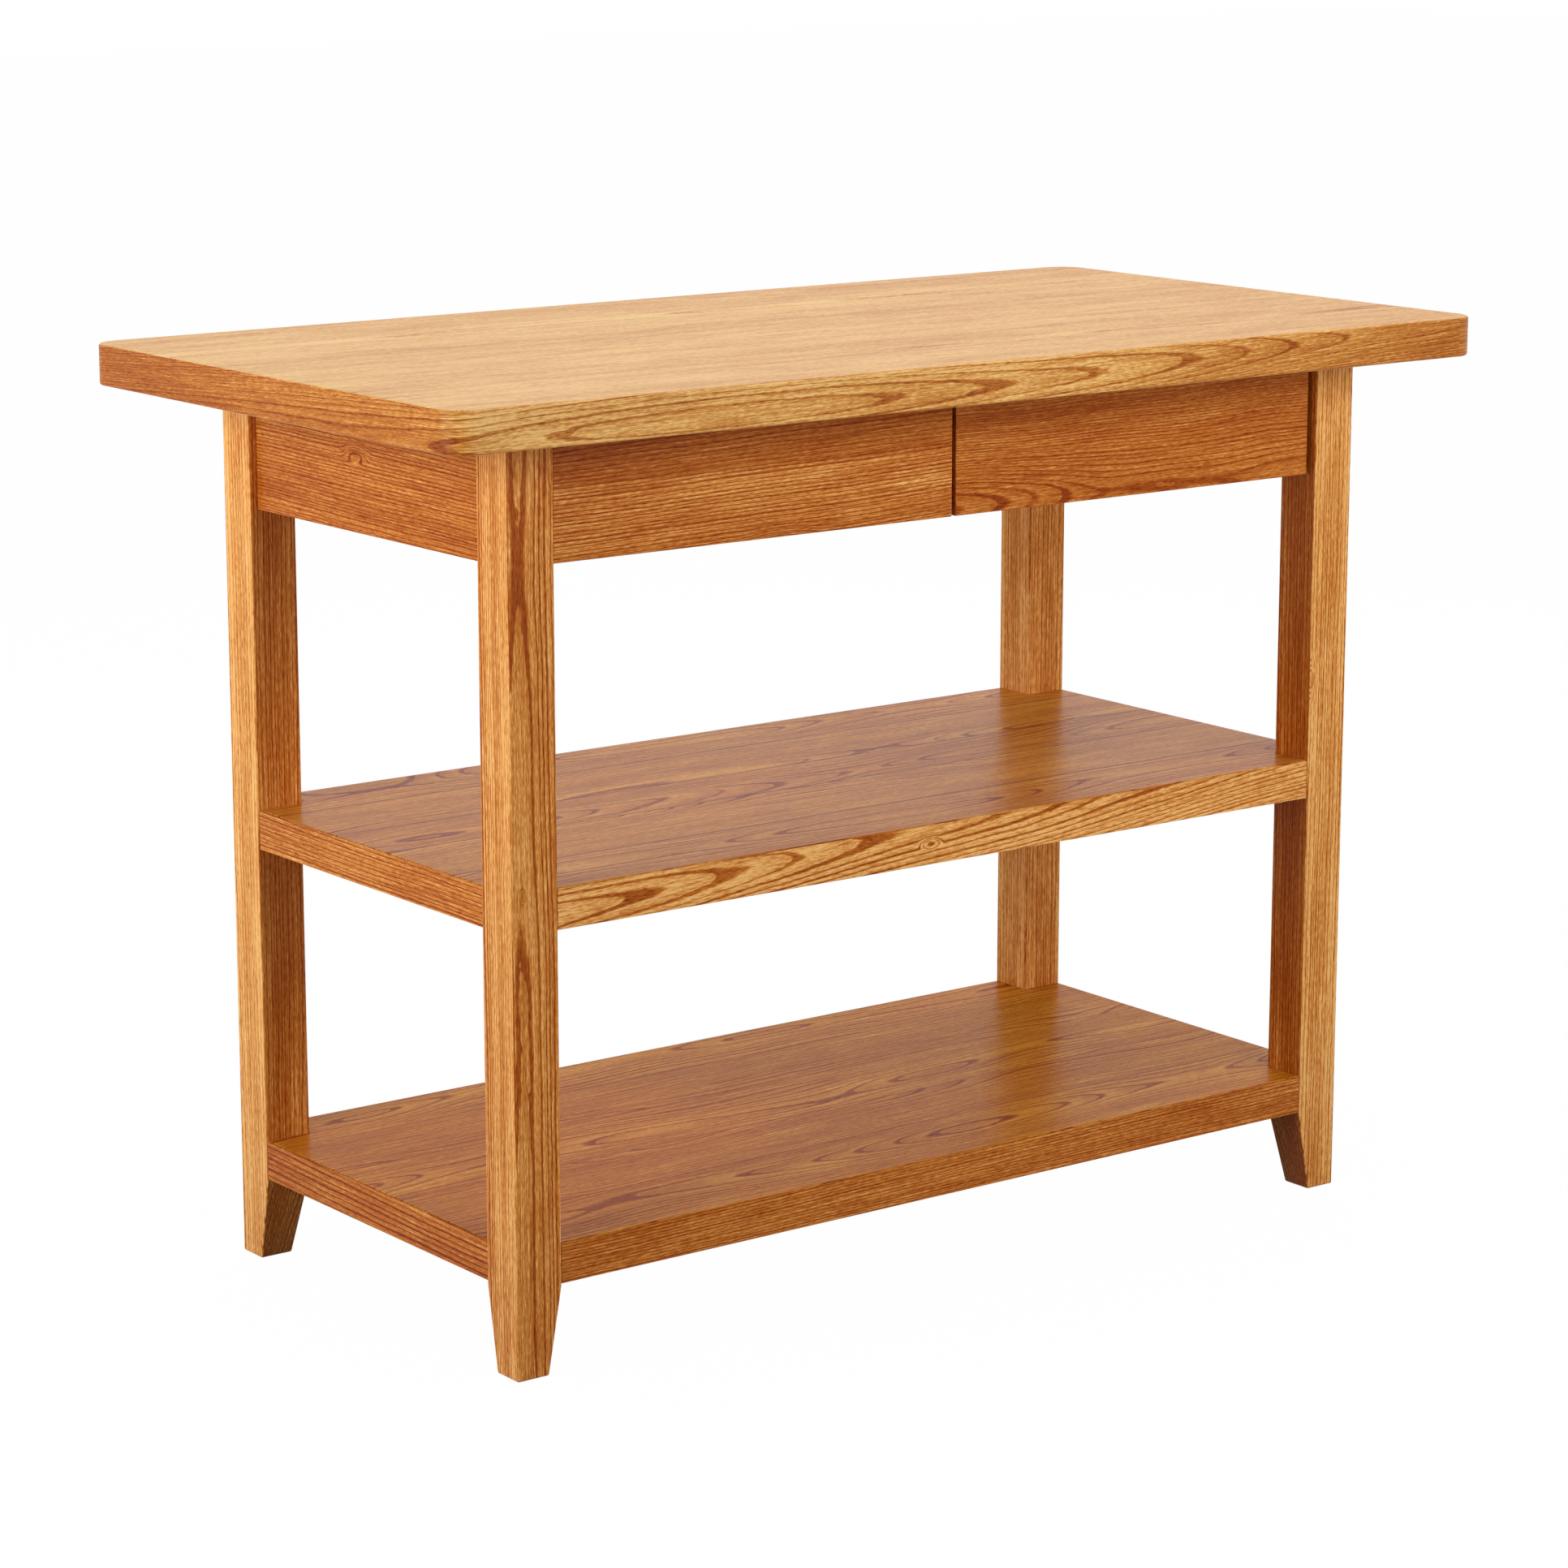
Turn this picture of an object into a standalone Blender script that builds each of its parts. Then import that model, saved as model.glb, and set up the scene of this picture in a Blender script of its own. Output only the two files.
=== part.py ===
"""Kitchen island in honey-stained ash: a worktop on four legs, two drawers and two open shelves.

Metres, +Z up. The origin is on the floor under the middle of the worktop, the long side lies along X,
and the drawers face -Y. Left and right are as seen from the front.
"""

import math
from dataclasses import dataclass

import bmesh
import bpy

# Worktop
TOP_LENGTH = 1.200
TOP_WIDTH = 0.626
TOP_THICKNESS = 0.0385
TOP_CORNER_RADIUS = 0.028
TOP_EDGE_EASE = 0.002
TOP_CORNER_STEPS = 8
END_OVERHANG = 0.100
SIDE_OVERHANG = 0.0725
HEIGHT = 0.888

# Legs
LEG_SECTION = 0.0484
LEG_EASE = 0.0015
FOOT_TAPER = 0.0145
FOOT_TAPER_START = 0.002

# Joinery
JOINT_GAP = 0.0003
TENON_THICKNESS = 0.010
TENON_LENGTH = 0.018
TENON_SHOULDER = 0.014
TENON_EASE = 0.0005
MORTISE_SPARE = 0.001
CUT_OVERRUN = 0.002

# Aprons and the rail above the drawers
APRON_HEIGHT = 0.1145
APRON_THICKNESS = 0.020
APRON_RECESS = 0.0073
APRON_EASE = 0.001
TOP_RAIL_THICKNESS = 0.020
TOP_RAIL_DEPTH = 0.045
TOP_RAIL_TENON_DEPTH = 0.010
TOP_RAIL_TENON_HEIGHT = 0.010
TOP_RAIL_TENON_SETBACK = 0.005

# Board between the drawers and the packers beside them
DIVIDER_THICKNESS = 0.020
DIVIDER_LIFT = 0.005
HOUSING_DEPTH = 0.005
PACKER_HEIGHT = 0.060

# Steel angles that hold the worktop
BRACKET_LEG = 0.030
BRACKET_GAUGE = 0.002
BRACKET_WIDTH = 0.040
BRACKET_PACKER_CLEARANCE = 0.0014
BACK_BRACKET_SPACING = 0.600

# Shelves
SHELF_THICKNESS = 0.0384
SHELF_BOARD = 0.018
SHELF_INSET = 0.0008
SHELF_ARRIS = 0.001
MID_SHELF_TOP = 0.448
LOW_SHELF_TOP = 0.1217
SHELF_TENON_HEIGHT = 0.014
SHELF_TENON_LIFT = 0.004
BRACE_WIDTH = 0.040
BRACE_CLEARANCE = 0.002
BRACE_LIFT = 0.002

# Drawers
FRONT_THICKNESS = 0.020
FRONT_RECESS = 0.0075
FRONT_GAP = 0.0044
FRONT_TOP_GAP = 0.0033
FRONT_EASE = 0.001
FRONT_BACK_CLEARANCE = 0.0015
FINGER_COVE = 0.012
COVE_STEPS = 6
BOX_LIFT = 0.015
BOX_TOP_CLEARANCE = 0.0037
BOX_BACK_CLEARANCE = 0.046
BOX_BOARD = 0.012
BOX_BACK_SETIN = 0.008
BOTTOM_THICKNESS = 0.006
BOTTOM_LIFT = 0.008
GROOVE_DEPTH = 0.006

# Telescopic slides
SLIDE_SPACE = 0.0127
SLIDE_HEIGHT = 0.045
SLIDE_GAUGE = 0.0012
SLIDE_LIP = 0.0012
SLIDE_CHANNEL_DEPTH = 0.0096
SLIDE_RUNNING_GAP = 0.0004
SLIDE_WEB_GAP = 0.0006
SLIDE_FRONT_SETBACK = 0.003
SLIDE_BACK_SETBACK = 0.027

# Heights and planes that follow from the sizes above
FRAME_LENGTH = TOP_LENGTH - 2 * END_OVERHANG
FRAME_DEPTH = TOP_WIDTH - 2 * SIDE_OVERHANG
TOP_UNDERSIDE = HEIGHT - TOP_THICKNESS
APRON_BOTTOM = TOP_UNDERSIDE - APRON_HEIGHT
LEG_TOP = TOP_UNDERSIDE - JOINT_GAP
SHELF_TOPS = {"mid_shelf": MID_SHELF_TOP, "low_shelf": LOW_SHELF_TOP}
FRONT_PLANE = -FRAME_DEPTH / 2
LEG_INNER_X = FRAME_LENGTH / 2 - LEG_SECTION
LEG_INNER_Y = FRAME_DEPTH / 2 - LEG_SECTION
APRON_INNER_X = FRAME_LENGTH / 2 - APRON_RECESS - APRON_THICKNESS
APRON_INNER_Y = FRAME_DEPTH / 2 - APRON_RECESS - APRON_THICKNESS
FRONT_BACK_Y = FRONT_PLANE + FRONT_RECESS + FRONT_THICKNESS
TOP_RAIL_Y = FRONT_BACK_Y + FRONT_BACK_CLEARANCE
TOP_RAIL_BOTTOM = LEG_TOP - TOP_RAIL_THICKNESS
BOX_FRONT_Y = FRONT_BACK_Y + JOINT_GAP
BOX_BACK_Y = APRON_INNER_Y - BOX_BACK_CLEARANCE
BOX_BOTTOM = APRON_BOTTOM + BOX_LIFT
BOX_TOP = TOP_RAIL_BOTTOM - BOX_TOP_CLEARANCE
SLIDE_Y = (BOX_FRONT_Y + SLIDE_FRONT_SETBACK, BOX_BACK_Y - SLIDE_BACK_SETBACK)
SLIDE_Z = (BOX_BOTTOM + BOX_TOP) / 2
PACKER_TOP = SLIDE_Z + PACKER_HEIGHT / 2
END_BRACKET_DROP = LEG_TOP - PACKER_TOP - BRACKET_PACKER_CLEARANCE

SIDES = {"left": -1, "right": 1}
ENDS = {"front": -1, "back": 1}

# Colours, linear red, green and blue
HONEY_ASH = (0.50, 0.20, 0.05)
POPLAR = (0.62, 0.42, 0.23)
BIRCH_PLYWOOD = (0.66, 0.47, 0.27)
ZINC_STEEL = (0.62, 0.63, 0.65)


def make_material(name, colour, roughness, metallic=0.0):
    """Give a Principled material of one colour (linear red, green, blue)."""
    material = bpy.data.materials.new(name)
    material.use_nodes = True
    shader = material.node_tree.nodes["Principled BSDF"]
    shader.inputs["Base Color"].default_value = (*colour, 1.0)
    shader.inputs["Roughness"].default_value = roughness
    shader.inputs["Metallic"].default_value = metallic
    return material


def make_empty(name, location, parent=None):
    """Add an empty that carries the pieces of one sub-assembly."""
    empty = bpy.data.objects.new(name, None)
    bpy.context.scene.collection.objects.link(empty)
    empty.parent = parent
    empty.location = location
    return empty


def loft(axis, stations):
    """Join outlines of equal point count, set square to an axis, into one closed solid.

    Each station is a position along the axis and a list of points in the two other axes.
    """
    solid = bmesh.new()
    rings = []
    for position, outline in stations:
        ring = []
        for first, second in outline:
            point = [first, second]
            point.insert(axis, position)
            ring.append(solid.verts.new(point))
        rings.append(ring)
    for lower, upper in zip(rings, rings[1:]):
        for here in range(len(lower)):
            there = (here + 1) % len(lower)
            solid.faces.new((lower[here], lower[there], upper[there], upper[here]))
    solid.faces.new(rings[0])
    solid.faces.new(rings[-1])
    bmesh.ops.recalc_face_normals(solid, faces=solid.faces)
    return solid


def make_piece(name, solid, material, parent):
    """Turn a solid drawn in the island's own frame into a named object under its parent empty."""
    mesh = bpy.data.meshes.new(name)
    offset = [-part for part in parent.location]
    bmesh.ops.translate(solid, verts=solid.verts, vec=offset)
    solid.to_mesh(mesh)
    solid.free()
    mesh.materials.append(material)
    piece = bpy.data.objects.new(name, mesh)
    bpy.context.scene.collection.objects.link(piece)
    piece.parent = parent
    return piece


def cut_boxes(piece, boxes):
    """Take boxes, given as three spans each and clear of one another, out of a piece."""
    solid = bmesh.new()
    for spans in boxes:
        made = bmesh.ops.create_cube(solid, size=1.0)
        for vert in made["verts"]:
            vert.co = [low if part < 0 else high for part, (low, high) in zip(vert.co, spans)]
    mesh = bpy.data.meshes.new(piece.name + "_cutter")
    solid.to_mesh(mesh)
    solid.free()
    cutter = bpy.data.objects.new(piece.name + "_cutter", mesh)
    bpy.context.scene.collection.objects.link(cutter)
    cutter.hide_render = True
    cutter.display_type = "WIRE"
    modifier = piece.modifiers.new("cut", "BOOLEAN")
    modifier.operation = "DIFFERENCE"
    modifier.solver = "EXACT"
    modifier.object = cutter


def span(one, other):
    """Order two positions, low then high."""
    return (min(one, other), max(one, other))


def grown(limits, gap):
    """Widen a span by a gap at both ends."""
    return (limits[0] - gap, limits[1] + gap)


def rectangle(first, second, ease=0.0):
    """Outline of a rectangle given by two spans, with its corners cut by ease."""
    (left, right), (low, high) = first, second
    if ease == 0.0:
        return [(left, low), (right, low), (right, high), (left, high)]
    return [
        (left + ease, low),
        (right - ease, low),
        (right, low + ease),
        (right, high - ease),
        (right - ease, high),
        (left + ease, high),
        (left, high - ease),
        (left, low + ease),
    ]


def rounded_rectangle(length, width, radius, steps):
    """Outline of a rectangle centred on the origin, with round corners."""
    outline = []
    for quarter in range(4):
        side_x = 1 if quarter in (0, 3) else -1
        side_y = 1 if quarter in (0, 1) else -1
        for step in range(steps + 1):
            angle = (quarter + step / steps) * math.pi / 2
            outline.append(
                (
                    side_x * (length / 2 - radius) + radius * math.cos(angle),
                    side_y * (width / 2 - radius) + radius * math.sin(angle),
                )
            )
    return outline


@dataclass(frozen=True)
class Bar:
    """A bar along X (axis 0) or Y (axis 1) with a tenon at each end, drawn between its shoulders."""

    name: str
    axis: int
    shoulders: tuple
    section: list
    tenon: list

    def solid(self):
        """The bar with its two tenons."""
        low, high = self.shoulders
        return loft(
            self.axis,
            [
                (low - TENON_LENGTH, self.tenon),
                (low, self.tenon),
                (low, self.section),
                (high, self.section),
                (high, self.tenon),
                (high + TENON_LENGTH, self.tenon),
            ],
        )

    def mortises(self):
        """The two boxes that take the tenons, with their clearance."""
        low, high = self.shoulders
        reach = TENON_LENGTH + MORTISE_SPARE
        across, height = (
            grown((min(values), max(values)), JOINT_GAP) for values in zip(*self.tenon)
        )
        boxes = []
        for along in ((low - reach, low + CUT_OVERRUN), (high - CUT_OVERRUN, high + reach)):
            box = [across, height]
            box.insert(self.axis, along)
            boxes.append(box)
        return boxes


def shoulders_between_legs(axis):
    """Shoulder positions of a bar that runs between two legs."""
    reach = (LEG_INNER_X, LEG_INNER_Y)[axis] - JOINT_GAP
    return (-reach, reach)


def apron_bars():
    """The two end aprons and the back apron."""
    height = (APRON_BOTTOM, LEG_TOP)
    tenon_height = (APRON_BOTTOM + TENON_SHOULDER, LEG_TOP - TENON_SHOULDER)
    places = [
        ("apron_left", 1, -APRON_INNER_X, -1),
        ("apron_right", 1, APRON_INNER_X, 1),
        ("apron_back", 0, APRON_INNER_Y, 1),
    ]
    bars = []
    for name, axis, inner, side in places:
        middle = inner + side * APRON_THICKNESS / 2
        bars.append(
            Bar(
                name,
                axis,
                shoulders_between_legs(axis),
                rectangle(span(inner, inner + side * APRON_THICKNESS), height, APRON_EASE),
                rectangle(grown((middle, middle), TENON_THICKNESS / 2), tenon_height, TENON_EASE),
            )
        )
    return bars


def front_top_rail_bar():
    """The flat rail under the worktop, behind the drawer fronts."""
    tenon_y = TOP_RAIL_Y + TOP_RAIL_TENON_SETBACK
    tenon_z = TOP_RAIL_BOTTOM + (TOP_RAIL_THICKNESS - TOP_RAIL_TENON_HEIGHT) / 2
    return Bar(
        "front_top_rail",
        0,
        shoulders_between_legs(0),
        rectangle((TOP_RAIL_Y, TOP_RAIL_Y + TOP_RAIL_DEPTH), (TOP_RAIL_BOTTOM, LEG_TOP), APRON_EASE),
        rectangle(
            (tenon_y, tenon_y + TOP_RAIL_TENON_DEPTH),
            (tenon_z, tenon_z + TOP_RAIL_TENON_HEIGHT),
            TENON_EASE,
        ),
    )


def shelf_bars(shelf, top):
    """The four rails of a shelf, mitred along their upper edge to take the panel."""
    bottom = top - SHELF_THICKNESS
    tenon_low = bottom + SHELF_TENON_LIFT
    tenon_high = tenon_low + SHELF_TENON_HEIGHT
    places = [
        ("rail_left", 1, FRAME_LENGTH, -1),
        ("rail_right", 1, FRAME_LENGTH, 1),
        ("rail_front", 0, FRAME_DEPTH, -1),
        ("rail_back", 0, FRAME_DEPTH, 1),
    ]
    bars = []
    for name, axis, size, side in places:
        outer = side * (size / 2 - SHELF_INSET)
        inner = outer - side * SHELF_BOARD
        tenon_outer = (outer + inner) / 2 + side * TENON_THICKNESS / 2
        tenon_inner = tenon_outer - side * TENON_THICKNESS
        section = [
            (outer, bottom),
            (inner, bottom),
            (inner, top - SHELF_BOARD),
            (outer - side * SHELF_ARRIS / 2, top - SHELF_ARRIS / 2),
            (outer, top - SHELF_ARRIS),
        ]
        tenon = [
            (tenon_outer, tenon_low),
            (tenon_inner, tenon_low),
            (tenon_inner, tenon_high),
            ((tenon_outer + tenon_inner) / 2, tenon_high),
            (tenon_outer, tenon_high),
        ]
        bars.append(Bar(f"{shelf}_{name}", axis, shoulders_between_legs(axis), section, tenon))
    return bars


def notched_outline(half_length, half_width):
    """Outline of a shelf panel that goes round the four legs."""
    notch_x = LEG_INNER_X - JOINT_GAP
    notch_y = LEG_INNER_Y - JOINT_GAP
    quarter = [(half_length, notch_y), (notch_x, notch_y), (notch_x, half_width)]
    outline = list(quarter)
    outline += [(-x, y) for x, y in reversed(quarter)]
    outline += [(-x, -y) for x, y in quarter]
    outline += [(x, -y) for x, y in reversed(quarter)]
    return outline


def shelf_panel_solid(top):
    """A shelf's panel: mitred edges on its rails, and a notch at each leg."""
    mitre_gap = JOINT_GAP * math.sqrt(2)
    half_length = FRAME_LENGTH / 2 - SHELF_INSET - mitre_gap
    half_width = FRAME_DEPTH / 2 - SHELF_INSET - mitre_gap
    under = SHELF_BOARD - SHELF_ARRIS
    return loft(
        2,
        [
            (top - under, notched_outline(half_length - under, half_width - under)),
            (top - SHELF_ARRIS, notched_outline(half_length - SHELF_ARRIS, half_width - SHELF_ARRIS)),
            (top, notched_outline(half_length - SHELF_ARRIS, half_width - SHELF_ARRIS)),
        ],
    )


def brace_solid(top, side_x, side_y):
    """A block across one inner corner of a shelf's rails, under the panel and clear of the leg."""
    corner_x = FRAME_LENGTH / 2
    corner_y = FRAME_DEPTH / 2
    rail = SHELF_INSET + SHELF_BOARD + JOINT_GAP
    near = 2 * LEG_SECTION + BRACE_CLEARANCE - rail
    far = near + BRACE_WIDTH * math.sqrt(2)
    inward = [(rail, near), (near, rail), (far, rail), (rail, far)]
    outline = [(side_x * (corner_x - x), side_y * (corner_y - y)) for x, y in inward]
    bottom = top - SHELF_THICKNESS + BRACE_LIFT
    return loft(2, [(bottom, outline), (top - SHELF_BOARD + SHELF_ARRIS - JOINT_GAP, outline)])


def leg_solid(side_x, side_y):
    """A square leg with eased edges, its foot tapered on the two inner faces."""

    def section(taper):
        outer_x = side_x * FRAME_LENGTH / 2
        outer_y = side_y * FRAME_DEPTH / 2
        width = LEG_SECTION - taper
        return rectangle(
            span(outer_x, outer_x - side_x * width), span(outer_y, outer_y - side_y * width), LEG_EASE
        )

    taper_top = LOW_SHELF_TOP - SHELF_THICKNESS - FOOT_TAPER_START
    return loft(2, [(0.0, section(FOOT_TAPER)), (taper_top, section(0.0)), (LEG_TOP, section(0.0))])


def in_leg(box, side_x, side_y):
    """Whether a mortise lies in the leg at this corner."""
    middle_x, middle_y = (sum(limits) / 2 for limits in box[:2])
    return middle_x * side_x > LEG_INNER_X and middle_y * side_y > LEG_INNER_Y


def tabletop_solid():
    """The worktop, with round corners in plan and eased edges above and below."""

    def outline(inset):
        return rounded_rectangle(
            TOP_LENGTH - 2 * inset, TOP_WIDTH - 2 * inset, TOP_CORNER_RADIUS - inset, TOP_CORNER_STEPS
        )

    return loft(
        2,
        [
            (TOP_UNDERSIDE, outline(TOP_EDGE_EASE)),
            (TOP_UNDERSIDE + TOP_EDGE_EASE, outline(0.0)),
            (HEIGHT - TOP_EDGE_EASE, outline(0.0)),
            (HEIGHT, outline(TOP_EDGE_EASE)),
        ],
    )


def divider_solid():
    """The board between the drawers, notched round the rail above and housed in the back apron."""
    bottom = APRON_BOTTOM + DIVIDER_LIFT
    notch_y = TOP_RAIL_Y + TOP_RAIL_DEPTH + JOINT_GAP
    notch_z = TOP_RAIL_BOTTOM - JOINT_GAP
    back = APRON_INNER_Y + HOUSING_DEPTH - JOINT_GAP
    outline = [
        (TOP_RAIL_Y, bottom),
        (back, bottom),
        (back, LEG_TOP),
        (notch_y, LEG_TOP),
        (notch_y, notch_z),
        (TOP_RAIL_Y, notch_z),
    ]
    half = DIVIDER_THICKNESS / 2
    return loft(0, [(-half, outline), (half, outline)])


def divider_housing():
    """The slot in the back apron that takes the end of the divider."""
    return (
        grown((-DIVIDER_THICKNESS / 2, DIVIDER_THICKNESS / 2), JOINT_GAP),
        (APRON_INNER_Y - CUT_OVERRUN, APRON_INNER_Y + HOUSING_DEPTH),
        (APRON_BOTTOM + DIVIDER_LIFT - JOINT_GAP, LEG_TOP + CUT_OVERRUN),
    )


def packer_solid(side):
    """The batten that brings a slide out from the end apron to the inner faces of the legs."""
    across = span(side * (APRON_INNER_X - JOINT_GAP), side * LEG_INNER_X)
    height = (PACKER_TOP - PACKER_HEIGHT, PACKER_TOP)
    low, high = shoulders_between_legs(1)
    outline = rectangle(across, height, APRON_EASE)
    return loft(1, [(low, outline), (high, outline)])


def bracket_solid(axis, wall, side, middle, drop):
    """A steel angle in the corner between an apron's inner face and the underside of the worktop.

    It is bent from sheet along the axis; wall is the apron's inner face, side points outwards, and drop is
    how far it reaches down the apron.
    """
    back = wall - side * JOINT_GAP
    outline = [
        (back, LEG_TOP - drop),
        (back, LEG_TOP),
        (back - side * BRACKET_LEG, LEG_TOP),
        (back - side * BRACKET_LEG, LEG_TOP - BRACKET_GAUGE),
        (back - side * BRACKET_GAUGE, LEG_TOP - BRACKET_GAUGE),
        (back - side * BRACKET_GAUGE, LEG_TOP - drop),
    ]
    half = BRACKET_WIDTH / 2
    return loft(axis, [(middle - half, outline), (middle + half, outline)])


def slide_profiles():
    """Sections of a slide's cabinet, middle and drawer members, nested in one another.

    Points are the distance from the cabinet wall towards the drawer, and the height from the middle.
    """
    wall = JOINT_GAP
    web = wall + SLIDE_GAUGE
    edge = wall + SLIDE_CHANNEL_DEPTH
    flange = SLIDE_HEIGHT / 2
    cabinet = channel(wall, web, edge, flange)
    mid_wall = web + SLIDE_WEB_GAP
    mid_edge = edge - SLIDE_GAUGE - SLIDE_RUNNING_GAP
    mid_flange = flange - SLIDE_GAUGE - SLIDE_RUNNING_GAP
    middle = channel(mid_wall, mid_wall + SLIDE_GAUGE, mid_edge, mid_flange)
    hook = mid_edge - SLIDE_GAUGE - SLIDE_RUNNING_GAP
    hook_top = mid_flange - SLIDE_GAUGE - SLIDE_RUNNING_GAP
    flat = hook_top - SLIDE_LIP
    back = SLIDE_SPACE - JOINT_GAP
    upper = [
        (back, flat),
        (hook, flat),
        (hook, hook_top),
        (hook - SLIDE_GAUGE, hook_top),
        (hook - SLIDE_GAUGE, flat - SLIDE_GAUGE),
        (back - SLIDE_GAUGE, flat - SLIDE_GAUGE),
    ]
    drawer = upper + [(across, -height) for across, height in reversed(upper)]
    return {"cabinet": cabinet, "middle": middle, "drawer": drawer}


def channel(wall, web, edge, flange):
    """Section of a channel open towards the drawer, with a lip turned in along each flange."""
    lip = flange - SLIDE_GAUGE - SLIDE_LIP
    upper = [
        (wall, flange),
        (edge, flange),
        (edge, lip),
        (edge - SLIDE_GAUGE, lip),
        (edge - SLIDE_GAUGE, flange - SLIDE_GAUGE),
        (web, flange - SLIDE_GAUGE),
    ]
    return upper + [(across, -height) for across, height in reversed(upper)]


def slide_solid(profile, wall, side):
    """One member of a slide on a cabinet wall; side points from that wall to the drawer."""
    outline = [(wall + side * across, SLIDE_Z + height) for across, height in profile]
    return loft(1, [(position, outline) for position in SLIDE_Y])


def drawer_front_solid(across):
    """A drawer front, with eased face edges and a cove behind its lower edge for the fingers."""
    face = FRONT_PLANE + FRONT_RECESS
    bottom = APRON_BOTTOM
    top = TOP_UNDERSIDE - FRONT_TOP_GAP
    cove = []
    for step in range(COVE_STEPS + 1):
        angle = math.pi / 2 * step / COVE_STEPS
        depth = FINGER_COVE * math.cos(angle)
        cove.append((FRONT_BACK_Y - depth, bottom + FINGER_COVE * math.sin(angle)))

    def outline(inset):
        front = face + inset
        return [
            (front + FRONT_EASE, top),
            (front, top - FRONT_EASE),
            (front, bottom + FRONT_EASE),
            (front + FRONT_EASE, bottom),
            *cove,
            (FRONT_BACK_Y, top),
        ]

    left, right = across
    return loft(
        0,
        [
            (left, outline(FRONT_EASE)),
            (left + FRONT_EASE, outline(0.0)),
            (right - FRONT_EASE, outline(0.0)),
            (right, outline(FRONT_EASE)),
        ],
    )


def grooved_section(outer, inner):
    """Section of a drawer box board, with the groove for the bottom in its inner face."""
    inward = 1 if inner > outer else -1
    groove = inner - inward * GROOVE_DEPTH
    low = BOX_BOTTOM + BOTTOM_LIFT - JOINT_GAP
    high = BOX_BOTTOM + BOTTOM_LIFT + BOTTOM_THICKNESS + JOINT_GAP
    return [
        (outer, BOX_BOTTOM),
        (inner, BOX_BOTTOM),
        (inner, low),
        (groove, low),
        (groove, high),
        (inner, high),
        (inner, BOX_TOP),
        (outer, BOX_TOP),
    ]


def drawer_limits(side):
    """Spans across a drawer, from its leg to the divider: its front, then its box."""
    leg = side * LEG_INNER_X
    divider = side * DIVIDER_THICKNESS / 2
    front = span(leg - side * FRONT_GAP, side * FRONT_GAP / 2)
    box = span(leg - side * SLIDE_SPACE, divider + side * SLIDE_SPACE)
    return front, box


def build_drawer(name, side, wood, box_wood, plywood, steel, parents):
    """A drawer of six boards, and the two slides that carry it."""
    front, (left, right) = drawer_limits(side)
    drawer = parents[f"{name}_drawer"]
    make_piece(f"{name}_drawer_front", drawer_front_solid(front), wood, drawer)

    inner = (left + BOX_BOARD, right - BOX_BOARD)
    back_outer = BOX_BACK_Y - BOX_BACK_SETIN
    back_inner = back_outer - BOX_BOARD
    front_inner = BOX_FRONT_Y + BOX_BOARD
    housed = grown(inner, HOUSING_DEPTH - JOINT_GAP)
    for end, outer_y, inner_y in (("front", BOX_FRONT_Y, front_inner), ("back", back_outer, back_inner)):
        section = grooved_section(outer_y, inner_y)
        solid = loft(0, [(position, section) for position in housed])
        make_piece(f"{name}_drawer_box_{end}", solid, box_wood, drawer)

    height = grown((BOX_BOTTOM, BOX_TOP), CUT_OVERRUN)
    for board, outer_x, inner_x in (("left", left, inner[0]), ("right", right, inner[1])):
        section = grooved_section(outer_x, inner_x)
        solid = loft(1, [(BOX_FRONT_Y, section), (BOX_BACK_Y, section)])
        piece = make_piece(f"{name}_drawer_side_{board}", solid, box_wood, drawer)
        inward = 1 if inner_x > outer_x else -1
        across = span(inner_x - inward * HOUSING_DEPTH, inner_x + inward * CUT_OVERRUN)
        cut_boxes(
            piece,
            [
                (across, (BOX_FRONT_Y - CUT_OVERRUN, front_inner + JOINT_GAP), height),
                (across, grown((back_inner, back_outer), JOINT_GAP), height),
            ],
        )

    held = GROOVE_DEPTH - JOINT_GAP
    bottom_low = BOX_BOTTOM + BOTTOM_LIFT
    outline = rectangle(grown(inner, held), grown((front_inner, back_inner), held))
    solid = loft(2, [(bottom_low, outline), (bottom_low + BOTTOM_THICKNESS, outline)])
    make_piece(f"{name}_drawer_bottom", solid, plywood, drawer)

    walls = {"outer": (side * LEG_INNER_X, -side), "inner": (side * DIVIDER_THICKNESS / 2, side)}
    owners = {
        "cabinet": parents["island"],
        "middle": parents[f"{name}_slide_middle"],
        "drawer": drawer,
    }
    for place, (wall, towards) in walls.items():
        for member, profile in slide_profiles().items():
            solid = slide_solid(profile, wall, towards)
            make_piece(f"{name}_{place}_slide_{member}", solid, steel, owners[member])


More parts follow.
